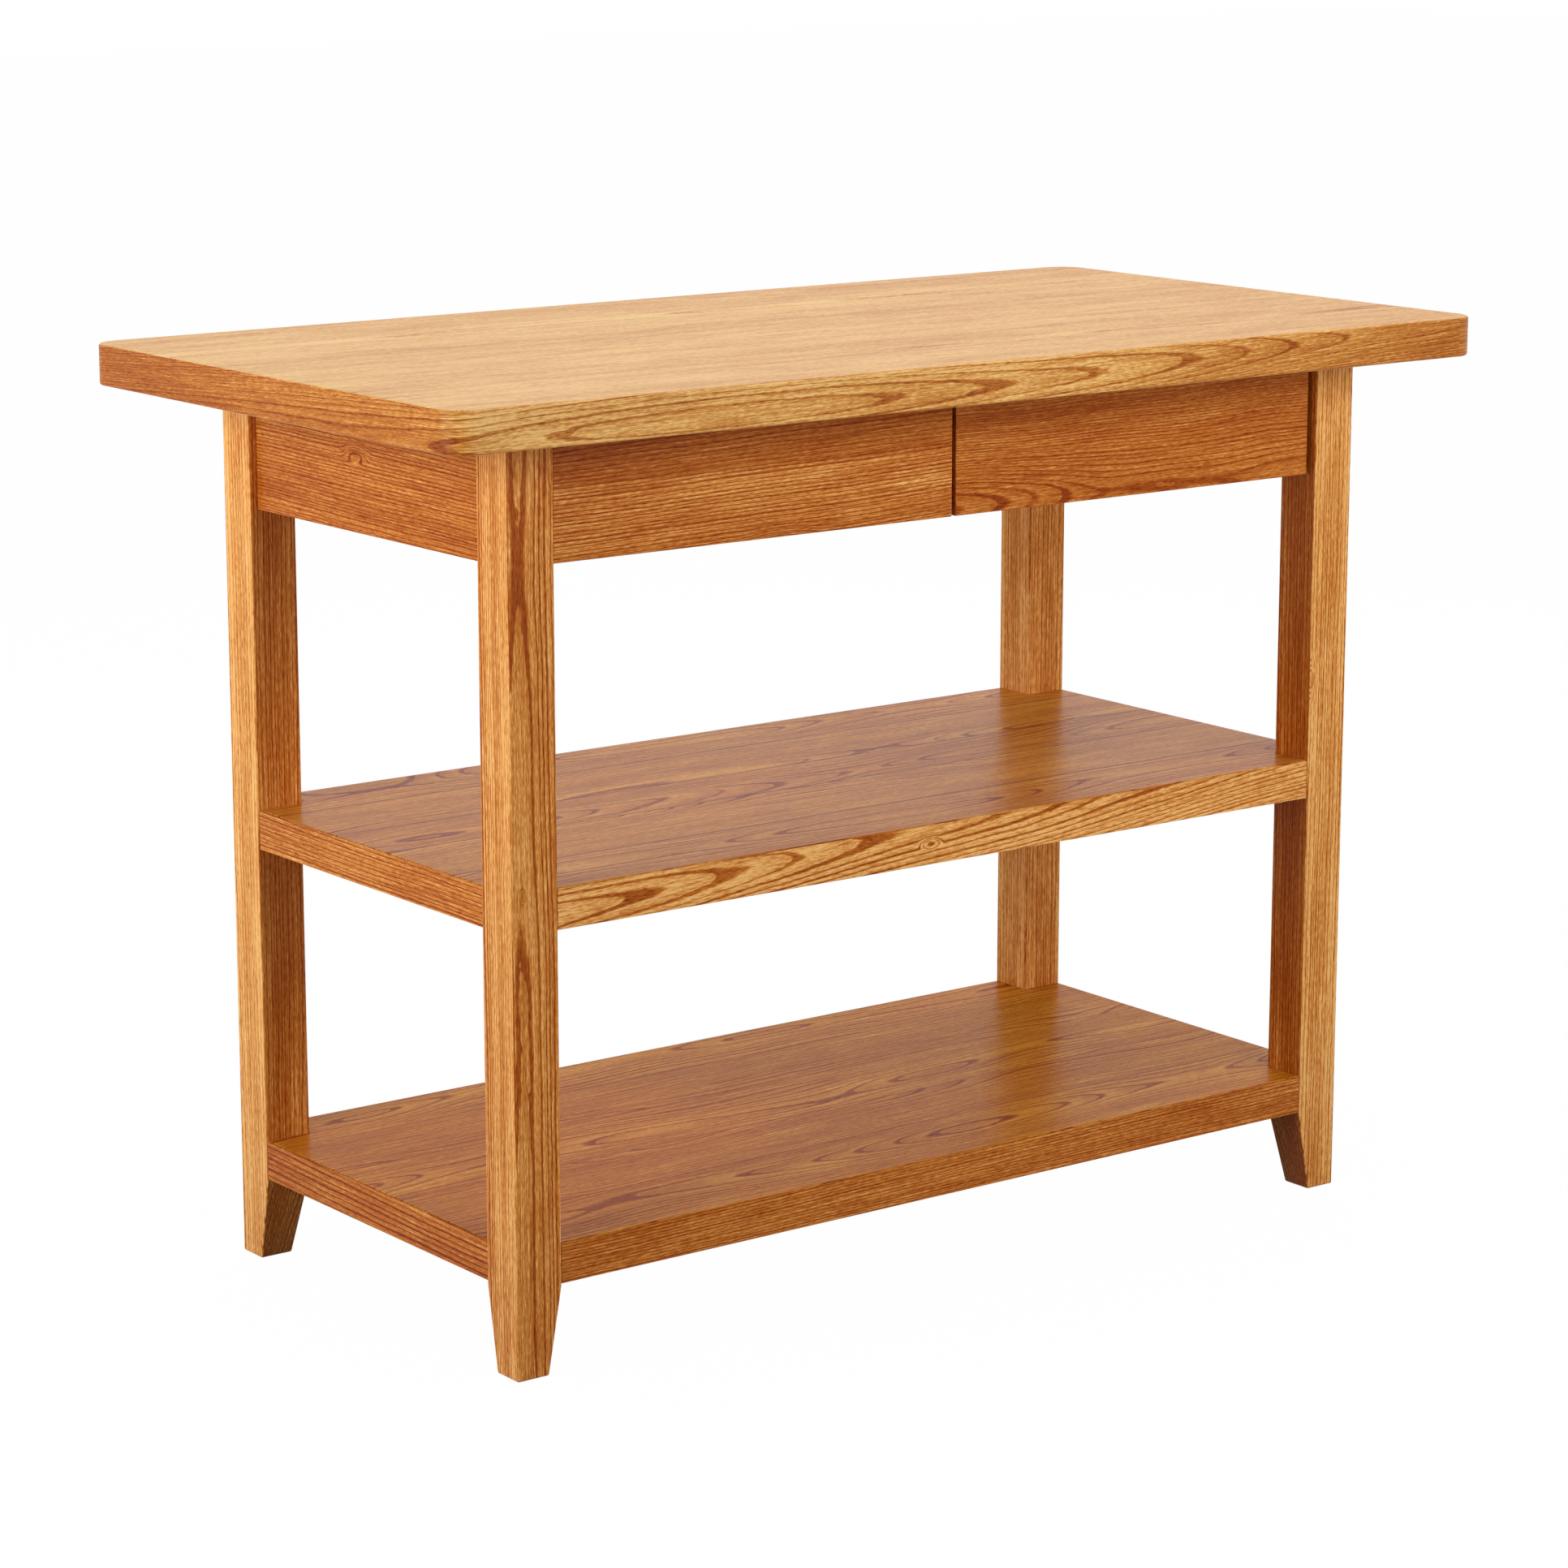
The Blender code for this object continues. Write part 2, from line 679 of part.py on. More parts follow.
def build_frame(wood, steel, island):
    """Worktop, legs, aprons, top rail, divider, packers and brackets."""
    make_piece("tabletop", tabletop_solid(), wood, island)
    bars = [*apron_bars(), front_top_rail_bar()]
    for shelf, top in SHELF_TOPS.items():
        bars += shelf_bars(shelf, top)
    pieces = {bar.name: make_piece(bar.name, bar.solid(), wood, island) for bar in bars}
    cut_boxes(pieces["apron_back"], [divider_housing()])

    mortises = [box for bar in bars for box in bar.mortises()]
    for end, side_y in ENDS.items():
        for hand, side_x in SIDES.items():
            leg = make_piece(f"leg_{end}_{hand}", leg_solid(side_x, side_y), wood, island)
            cut_boxes(leg, [box for box in mortises if in_leg(box, side_x, side_y)])

    make_piece("drawer_divider", divider_solid(), wood, island)
    for hand, side in SIDES.items():
        make_piece(f"slide_packer_{hand}", packer_solid(side), wood, island)
        end_bracket = bracket_solid(1, side * APRON_INNER_X, side, 0.0, END_BRACKET_DROP)
        make_piece(f"top_bracket_{hand}", end_bracket, steel, island)
        back_middle = side * BACK_BRACKET_SPACING / 2
        back_bracket = bracket_solid(0, APRON_INNER_Y, 1, back_middle, BRACKET_LEG)
        make_piece(f"top_bracket_back_{hand}", back_bracket, steel, island)


def build_shelves(wood, island):
    """The panels of the two shelves, and the braces under their corners."""
    for shelf, top in SHELF_TOPS.items():
        make_piece(f"{shelf}_panel", shelf_panel_solid(top), wood, island)
        for end, side_y in ENDS.items():
            for hand, side_x in SIDES.items():
                solid = brace_solid(top, side_x, side_y)
                make_piece(f"{shelf}_brace_{end}_{hand}", solid, wood, island)


def main():
    """Clear the scene and build the island."""
    for old in list(bpy.data.objects):
        bpy.data.objects.remove(old)
    wood = make_material("ash_honey_lacquer", HONEY_ASH, 0.35)
    box_wood = make_material("poplar_sanded", POPLAR, 0.6)
    plywood = make_material("birch_plywood", BIRCH_PLYWOOD, 0.6)
    steel = make_material("zinc_plated_steel", ZINC_STEEL, 0.35, 1.0)

    island = make_empty("island", (0.0, 0.0, 0.0))
    parents = {"island": island}
    for name, side in SIDES.items():
        middle_x = sum(drawer_limits(side)[1]) / 2
        place = (middle_x, FRONT_PLANE, SLIDE_Z)
        parents[f"{name}_drawer"] = make_empty(f"{name}_drawer", place)
        parents[f"{name}_slide_middle"] = make_empty(f"{name}_slide_middle", place)

    build_frame(wood, steel, island)
    build_shelves(wood, island)
    for name, side in SIDES.items():
        build_drawer(name, side, wood, box_wood, plywood, steel, parents)


main()
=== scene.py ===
"""Looks of the kitchen island: lacquered ash boards, inner timbers, steel runners and studio light.

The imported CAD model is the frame. Each timber board is rebuilt here with eased edges, and each of its
faces knows where it lay in the log, so that rings, pores and fibres run through the board as sawn.
Metres, +Z up, drawers towards -Y. Left and right are as seen from the front.
"""

import logging
import math
from dataclasses import dataclass
from dataclasses import field
from dataclasses import replace
from enum import Enum
from functools import partial
from itertools import accumulate
from typing import Callable

import bmesh
import bpy
from mathutils import Euler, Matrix
from mathutils import Vector


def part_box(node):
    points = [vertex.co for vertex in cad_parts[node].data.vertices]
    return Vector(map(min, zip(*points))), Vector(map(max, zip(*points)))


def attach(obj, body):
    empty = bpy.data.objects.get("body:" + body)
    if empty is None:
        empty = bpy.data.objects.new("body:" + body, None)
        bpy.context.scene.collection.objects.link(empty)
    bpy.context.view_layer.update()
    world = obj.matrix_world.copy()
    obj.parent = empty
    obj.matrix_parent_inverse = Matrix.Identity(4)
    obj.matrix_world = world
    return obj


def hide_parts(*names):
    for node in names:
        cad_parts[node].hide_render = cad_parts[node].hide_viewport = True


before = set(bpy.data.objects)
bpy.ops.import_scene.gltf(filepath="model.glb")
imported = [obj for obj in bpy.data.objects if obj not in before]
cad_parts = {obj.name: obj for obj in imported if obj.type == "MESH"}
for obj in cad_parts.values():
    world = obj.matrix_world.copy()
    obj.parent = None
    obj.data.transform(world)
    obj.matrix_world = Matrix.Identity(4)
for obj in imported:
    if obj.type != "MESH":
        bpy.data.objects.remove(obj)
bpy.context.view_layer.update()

LOG = logging.getLogger("kitchen_island")
MM = 0.001
ROOT_BODY = "frame"
HANDS = ("left", "right")
ENDS = ("front", "back")
WHITE = "#FFFFFF"

# What the corners of timber faces and the screws' points carry, by the attribute's name.
LOG_PLACE = "log_place"
BOARD_CUT = "board_cut"
KNOT_PLACE = "knot_place"
FACING = "facing"

# Limits of mesh work: points that are one, faces that are flat, normals that are level.
MERGE_DISTANCE = 1e-6
FLAT_ANGLE = math.radians(0.5)
STRAIGHT = 1e-4
NORMAL_WEIGHT = 100

# Knots: rings that one pushes aside, its length in widths, its shade, its dark heart, and out of reach.
KNOT_RINGS = 2.6
KNOT_LENGTH = 2.4
KNOT_SHADE = -0.3
KNOT_HEART = (0.1, 0.4)
NO_KNOT = 9.0

# Growth: waves for each ring and their height in rings, then the waves of streaks that last for years.
YEAR_WAVES = 0.31
YEAR_SHIFT = 1.3
STREAK_WAVES = 0.11
SEASON_BEND = (0.7, 1.3)

# Ranges of a noise or of the year that draw a feature, and the ranges of what they give.
WHOLE = (0.0, 1.0)
NOISE_SPAN = (0.3, 0.7)
LINE_START = (0.0, 0.05)
LINE_BOLDNESS = (0.7, 1.0)
FRAYED_FIBRE = (0.28, 0.58)
FRAYED_LINE = (0.7, 1.0)
OPEN_CELLS = (0.54, 0.68)
LATE_PORES = 0.18
LATE_SEASON = (0.35, 1.0)
LATE_WARMTH = (0.0, 0.45)
PATCHES = (0.32, 0.72)
PATCH_WARMTH = (-0.15, 0.6)
STREAKS = (0.5, 0.64)

# The least depth of stain, and how lines and pores break the lacquer's film.
LEAST_STAIN = -0.1
LACQUER_IOR = 1.5
LINE_DEPTH = 0.35
PORE_DEPTH = 0.15 * MM
PORE_DULLNESS = 0.18

ATTRIBUTE = "ShaderNodeAttribute"
BUMP = "ShaderNodeBump"
COMBINE = "ShaderNodeCombineXYZ"
EASE = "ShaderNodeMapRange"
MAPPING = "ShaderNodeMapping"
MATH = "ShaderNodeMath"
NOISE = "ShaderNodeTexNoise"
PRINCIPLED = "ShaderNodeBsdfPrincipled"
SEPARATE = "ShaderNodeSeparateXYZ"
SURFACE = "ShaderNodeOutputMaterial"
VECTOR = "ShaderNodeVectorMath"


class Axis(Enum):
    """Direction that the fibres of a board run in."""

    X = 0
    Y = 1
    Z = 2

    def across(self) -> tuple[int, int]:
        """The two directions across the fibres."""
        return tuple(index for index in range(3) if index != self.value)


class Slot(Enum):
    """Names of material slots, one for each finish of the new pieces."""

    WORKTOP = "ash_worktop"
    FRAME = "ash_frame"
    SHELF = "ash_shelf"
    DRAWER_FRONT = "ash_drawer_front"
    INNER = "inner_frame_wood"
    BOX = "drawer_box_wood"
    PLYWOOD = "birch_plywood"
    STEEL = "zinc_steel"


def linear(hex_colour: str) -> tuple[float, float, float, float]:
    """Turns an sRGB hex colour into the linear colour that a shader takes.

    Args:
        hex_colour: six hex digits after a hash sign.

    Returns:
        Red, green, blue and a full alpha.
    """
    channels = [int(hex_colour[i : i + 2], 16) / 255 for i in (1, 3, 5)]
    red, green, blue = (
        value / 12.92 if value <= 0.04045 else ((value + 0.055) / 1.055) ** 2.4 for value in channels
    )
    return red, green, blue, 1.0


def add_node(
    tree: bpy.types.NodeTree,
    kind: str,
    inputs: dict[int | str, object] | tuple[object, ...] = (),
    **settings: object,
) -> bpy.types.Node:
    """Adds a node to a tree, with its settings, values and links.

    Args:
        tree: the tree that takes the node.
        kind: Blender's type name of the node.
        inputs: the inputs in their order, or by index or name. Each is a value, an output socket, a node
            for its first output, or a list of nodes for an input that takes several.
        settings: the node's properties by name.

    Returns:
        The new node.
    """
    node = tree.nodes.new(kind)
    for name, value in settings.items():
        setattr(node, name, value)
    for key, value in inputs.items() if isinstance(inputs, dict) else enumerate(inputs):
        for item in value if isinstance(value, list) else [value]:
            if isinstance(item, bpy.types.Node):
                item = item.outputs[0]
            if isinstance(item, bpy.types.NodeSocket):
                tree.links.new(item, node.inputs[key])
            else:
                node.inputs[key].default_value = item
    return node


def emptied(owner: bpy.types.Material | bpy.types.World) -> Callable[..., bpy.types.Node]:
    """Clears the nodes of a material or world, and gives the function that adds new ones to it."""
    owner.use_nodes = True
    owner.node_tree.nodes.clear()
    return partial(add_node, owner.node_tree)


@dataclass(frozen=True)
class Cut:
    """How a board lies in the log that it was sawn from.

    pith is where the log's centre line passes the middle of the board, across the fibres, and lean how
    far that line moves across for each metre along. ring is the width of a growth ring, figure how far
    the rings wander, tone a lighter or darker board, which on the legs' sides, the aprons and the shelves
    also holds painted light and shade, start the place along the log, and line how bold the rings are.
    knots are the places of knots in the board, each with its radius, and fade is how much the tone changes
    for each metre along.
    """

    grain: Axis
    pith: tuple[float, float] = (0.010, -0.090)
    lean: tuple[float, float] = (0.004, 0.010)
    ring: float = 2.6 * MM
    figure: float = 4.0 * MM
    tone: float = 0.0
    start: float = 0.0
    line: float = 1.0
    knots: tuple[tuple[float, float, float, float], ...] = ()
    fade: float = 0.0

    def place(self, point: Vector, centre: Vector) -> Vector:
        """Place of a point in the log: along the fibres, then across from the log's centre line.

        Args:
            point: the point on the board.
            centre: the middle of the board.

        Returns:
            The point in the log's own directions.
        """
        along = point[self.grain.value] - centre[self.grain.value]
        offsets = [
            point[axis] - centre[axis] - pith - lean * along
            for axis, pith, lean in zip(self.grain.across(), self.pith, self.lean)
        ]
        return Vector((along + self.start, *offsets))

    def from_knot(self, point: Vector, middle: Vector) -> Vector:
        """Way from a face's nearest knot to a point, in knot radii, shortened along the fibres.

        Args:
            point: the point on the board.
            middle: the middle of the face.

        Returns:
            The way, or one that is out of reach where the board has no knot.
        """
        if not self.knots:
            return Vector((NO_KNOT, NO_KNOT, NO_KNOT))
        *place, radius = min(self.knots, key=lambda knot: (Vector(knot[:3]) - middle).length)
        way = (point - Vector(place)) / radius
        way[self.grain.value] /= KNOT_LENGTH
        return way


@dataclass(frozen=True)
class Timber:
    """A sawn and sanded timber under a clear film, drawn from its growth rings and its stain.

    The eye gets pale dense latewood, a darker porous line where each ring starts, short open pores along
    the fibres, silky fibre streaks and a slow warm drift of colour. Stain sinks deeper into open cells and
    lets less light back, so what is darker is redder too. Pores, fibres and the sandy speckle of cut cells
    are drawn about four times as coarse as in ash, because they would be lost in the render at their own
    size.

    light is the colour with no stain, stain what one depth of it lets through, and film the tint of the
    gloss. warm, line, pore, fibre, speckle and streak say how deep each goes. line_share is the porous part
    of a year, ripple and tremor are in rings, and each size is along the fibres and across them.
    """

    name: str
    light: str
    stain: str = "#AE743F"
    warm: float = 0.35
    line: float = 1.0
    pore: float = 0.7
    line_share: float = 0.42
    pore_size: tuple[float, float] = (9.0 * MM, 0.9 * MM)
    fibre_size: tuple[float, float] = (60.0 * MM, 1.0 * MM)
    fibre: float = 0.30
    speckle_size: tuple[float, float] = (7.0 * MM, 1.0 * MM)
    speckle: float = 0.30
    drift_size: tuple[float, float] = (380.0 * MM, 150.0 * MM)
    mottle_size: tuple[float, float] = (160.0 * MM, 26.0 * MM)
    ripple_size: tuple[float, float] = (90.0 * MM, 22.0 * MM)
    ripple: float = 0.7
    tremor_size: tuple[float, float] = (12.0 * MM, 5.0 * MM)
    tremor: float = 0.18
    streak: float = 0.6
    roughness: float = 0.30
    specular: float = 0.5
    film: str = WHITE
    bump: float = 0.25

    def build(self) -> bpy.types.Material:
        """Makes the material from the log place and cut that each board carries.

        Returns:
            The finished material.
        """
        material = bpy.data.materials.new(self.name)
        add = emptied(material)
        place = add(ATTRIBUTE, attribute_name=LOG_PLACE).outputs["Vector"]
        board = add(ATTRIBUTE, attribute_name=BOARD_CUT).outputs
        tone, ring, figure = add(SEPARATE, (board["Vector"],)).outputs

        # Noises drawn out along the fibres, each at its own size and fineness.
        layers = {}
        for name, (length, width), fineness in (
            ("drift", self.drift_size, 1.0),
            ("mottle", self.mottle_size, 3.0),
            ("ripple", self.ripple_size, 2.0),
            ("tremor", self.tremor_size, 1.0),
            ("fibre", self.fibre_size, 3.0),
            ("pore", self.pore_size, 1.0),
            ("speckle", self.speckle_size, 4.0),
        ):
            scale = (1.0 / length, 1.0 / width, 1.0 / width)
            stretched = add(MAPPING, {"Vector": place, "Scale": scale})
            layers[name] = add(NOISE, {"Vector": stretched, "Scale": 1.0, "Detail": fineness})

        # Growth rings: the distance from the pith, counted in rings, wandering a little on the way.
        across = add(VECTOR, (place, (0.0, 1.0, 1.0)), operation="MULTIPLY")
        radius = add(VECTOR, (across,), operation="LENGTH").outputs["Value"]
        wander = add(MATH, (layers["drift"], 2.0, -1.0), operation="MULTIPLY_ADD")
        moved = add(MATH, (wander, figure, radius), operation="MULTIPLY_ADD")
        counted = add(MATH, (moved, ring), operation="DIVIDE")
        rippled = add(MATH, (layers["ripple"], self.ripple, counted), operation="MULTIPLY_ADD")
        trembled = add(MATH, (layers["tremor"], self.tremor, rippled), operation="MULTIPLY_ADD")
        from_knot = add(ATTRIBUTE, attribute_name=KNOT_PLACE).outputs["Vector"]
        knot = add(VECTOR, (from_knot,), operation="LENGTH").outputs["Value"]
        bulge = add(EASE, (knot, *WHOLE, KNOT_RINGS, 0.0), interpolation_type="SMOOTHERSTEP")
        rings = add(MATH, (trembled, bulge), operation="ADD")

        # Years are unequal, and each has its own vigour and its own share of early and late growth.
        slow = add(MATH, (rings, YEAR_WAVES), operation="MULTIPLY")
        unequal = add(NOISE, {"W": slow, "Scale": 1.0, "Detail": 1.0}, noise_dimensions="1D")
        years = add(MATH, (unequal, YEAR_SHIFT, rings), operation="MULTIPLY_ADD")
        year = add(MATH, (years,), operation="FLOOR")
        vigour = add("ShaderNodeTexWhiteNoise", {"W": year}, noise_dimensions="1D")
        part = add(MATH, (years,), operation="FRACT")
        bend = add(EASE, (vigour, *WHOLE, *SEASON_BEND))
        season = add(MATH, (part, bend), operation="POWER")

        # Earlywood: a porous line that starts sharply and fades into the dense wood of the year.
        rise = add(EASE, (season, *LINE_START, 0.0, 1.0), interpolation_type="SMOOTHSTEP")
        fading = (0.5 * self.line_share, self.line_share)
        fall = add(EASE, (season, *fading, 1.0, 0.0), interpolation_type="SMOOTHSTEP")
        bold = add(EASE, (vigour, *WHOLE, *LINE_BOLDNESS))
        edged = add(MATH, (rise, fall), operation="MULTIPLY")
        early = add(MATH, (edged, bold), operation="MULTIPLY")
        frayed = add(EASE, (layers["fibre"], *FRAYED_FIBRE, *FRAYED_LINE))
        broken = add(MATH, (early, frayed), operation="MULTIPLY")
        lines = add(MATH, (broken, board["Alpha"]), operation="MULTIPLY")
        open_cells = add(EASE, (layers["pore"], *OPEN_CELLS))
        gate = add(MATH, (early, 1.0 - LATE_PORES, LATE_PORES), operation="MULTIPLY_ADD")
        pores = add(MATH, (open_cells, gate), operation="MULTIPLY")

        # Uptake of stain: more late in the year, in slow patches, in streaks of years, and in pores.
        late = add(EASE, (season, *LATE_SEASON, *LATE_WARMTH), interpolation_type="SMOOTHSTEP")
        patch = add(EASE, (layers["mottle"], *PATCHES, *PATCH_WARMTH))
        decade = add(MATH, (rings, STREAK_WAVES), operation="MULTIPLY")
        cycle = add(NOISE, {"W": decade, "Scale": 1.0, "Detail": 1.0}, noise_dimensions="1D")
        streak = add(EASE, (cycle, *STREAKS, 0.0, self.streak), interpolation_type="SMOOTHSTEP")
        patched = add(MATH, (late, patch), operation="ADD")
        warmth = add(MATH, (patched, streak), operation="ADD")
        warmed = add(MATH, (warmth, self.warm), operation="MULTIPLY")
        lined = add(MATH, (lines, self.line, warmed), operation="MULTIPLY_ADD")
        uptake = add(MATH, (pores, self.pore, lined), operation="MULTIPLY_ADD")

        # Light and shade of fibres, cut cells and the heart of a knot, and the board's tone, which on the
        # legs' sides, the aprons and the shelves is painted light and shade.
        silk = add(EASE, (layers["fibre"], *NOISE_SPAN, -self.fibre, self.fibre))
        sand = add(EASE, (layers["speckle"], *NOISE_SPAN, -self.speckle, self.speckle))
        heart = add(EASE, (knot, *KNOT_HEART, KNOT_SHADE, 0.0), interpolation_type="SMOOTHSTEP")
        textured = add(MATH, (silk, sand), operation="ADD")
        toned = add(MATH, (textured, tone), operation="ADD")
        shade = add(MATH, (toned, heart), operation="ADD")

        # The stain swallows light the deeper it went in, so darker wood is redder too.
        sunk = add(MATH, (uptake, shade), operation="SUBTRACT")
        stain_depth = add(MATH, (sunk, LEAST_STAIN), operation="MAXIMUM")
        passed = add("ShaderNodeGamma", (linear(self.stain), stain_depth))
        colour = add(VECTOR, (passed, linear(self.light)[:3]), operation="MULTIPLY")

        depth = add(MATH, (early, LINE_DEPTH, pores), operation="MULTIPLY_ADD")
        bump = add(BUMP, {"Strength": self.bump, "Distance": PORE_DEPTH, "Height": depth}, invert=True)
        dull = add(MATH, (pores, PORE_DULLNESS, self.roughness), operation="MULTIPLY_ADD")
        shader = add(
            PRINCIPLED,
            {
                "Base Color": colour,
                "Roughness": dull,
                "IOR": LACQUER_IOR,
                "Specular IOR Level": self.specular,
                "Specular Tint": linear(self.film),
                "Normal": bump,
            },
        )
        add(SURFACE, (shader,))
        return material


@dataclass(frozen=True)
class ZincSteel:
    """Zinc-plated sheet steel, rolled and bright: pale blue-grey with rolling lines and a soft spangle.

    The rolling lines are drawn several times as coarse as they are, so that they show in a close render.
    """

    name: str = "zinc_plated_steel"
    pale: str = "#C9CDD0"
    deep: str = "#9DA3A8"
    roughness: tuple[float, float] = (0.24, 0.44)
    spangle_size: float = 9.0 * MM
    rolling_size: tuple[float, float] = (80.0 * MM, 0.8 * MM)
    bump: float = 0.15
    bump_depth: float = 0.05 * MM

    def build(self) -> bpy.types.Material:
        """Makes the material on Object coordinates.

        Returns:
            The finished material.
        """
        material = bpy.data.materials.new(self.name)
        add = emptied(material)
        place = add("ShaderNodeTexCoord").outputs["Object"]
        spangle = add("ShaderNodeTexVoronoi", {"Vector": place, "Scale": 1.0 / self.spangle_size})
        length, width = self.rolling_size
        along = add(MAPPING, {"Vector": place, "Scale": (1.0 / width, 1.0 / length, 1.0 / width)})
        lines = add(NOISE, {"Vector": along, "Scale": 1.0, "Detail": 2.0})
        colours = {0: spangle.outputs["Color"], 6: linear(self.pale), 7: linear(self.deep)}
        colour = add("ShaderNodeMix", colours, data_type="RGBA").outputs[2]
        rough = add(EASE, (lines, *WHOLE, *self.roughness))
        bump = add(BUMP, {"Strength": self.bump, "Distance": self.bump_depth, "Height": lines})
        shader = add(
            PRINCIPLED, {"Base Color": colour, "Metallic": 1.0, "Roughness": rough, "Normal": bump}
        )
        add(SURFACE, (shader,))
        return material


ASH = Timber("lacquered_honey_ash", "#F3B569", specular=0.08)
ASH_TOP = replace(
    ASH,
    name="lacquered_honey_ash_top",
    light="#EAB66B",
    line_share=0.3,
    drift_size=(1100.0 * MM, 150.0 * MM),
    ripple=0.4,
    tremor=0.15,
    streak=0.35,
    roughness=0.38,
    specular=0.15,
    film="#FFF9E4",
)
ASH_EDGE = replace(
    ASH,
    name="lacquered_honey_ash_edge",
    light="#FBB05C",
    line_share=0.34,
    drift_size=(300.0 * MM, 70.0 * MM),
    ripple=0.5,
    tremor=0.12,
    streak=0.3,
)
ASH_SHELF = replace(
    ASH,
    name="lacquered_honey_ash_shelf",
    light="#EEAE4A",
    line_share=0.26,
    drift_size=(420.0 * MM, 110.0 * MM),
    ripple=0.3,
    tremor=0.12,
    speckle=0.24,
    streak=0.15,
    film="#FFEBC0",
)
ASH_LOW_SHELF = replace(
    ASH_SHELF, name="lacquered_honey_ash_low_shelf", light="#F2BA4C", specular=0.045
)
ASH_RAIL = replace(
    ASH, name="lacquered_honey_ash_rail", line_share=0.4, ripple=0.5, tremor=0.12, streak=0.15
)
INNER_ASH = replace(
    ASH, name="oiled_ash", light="#D8B183", warm=0.2, line=0.4, pore=0.3, roughness=0.4
)
POPLAR = replace(
    ASH,
    name="sealed_poplar",
    light="#E3CFA6",
    warm=0.15,
    line=0.3,
    pore=0.1,
    fibre=0.12,
    speckle=0.08,
    roughness=0.45,
)
BIRCH_PLY = replace(POPLAR, name="birch_plywood", light="#E6D0A8", warm=0.12, line=0.2)

# Places of the knots that show on the front and the left end, and how far each bends the grain.
LEG_KNOTS = ((-0.489, -0.2405, 0.445, 5.0 * MM),)
FAR_LEG_KNOTS = ((0.4545, -0.2405, 0.530, 12.0 * MM),)
APRON_KNOTS = ((-0.4927, 0.016, 0.808, 14.0 * MM),)
RAIL_KNOTS = ((-0.030, -0.2405, 0.430, 8.0 * MM),)
DRAWER_KNOTS = ((-0.200, -0.233, 0.728, 26.0 * MM),)


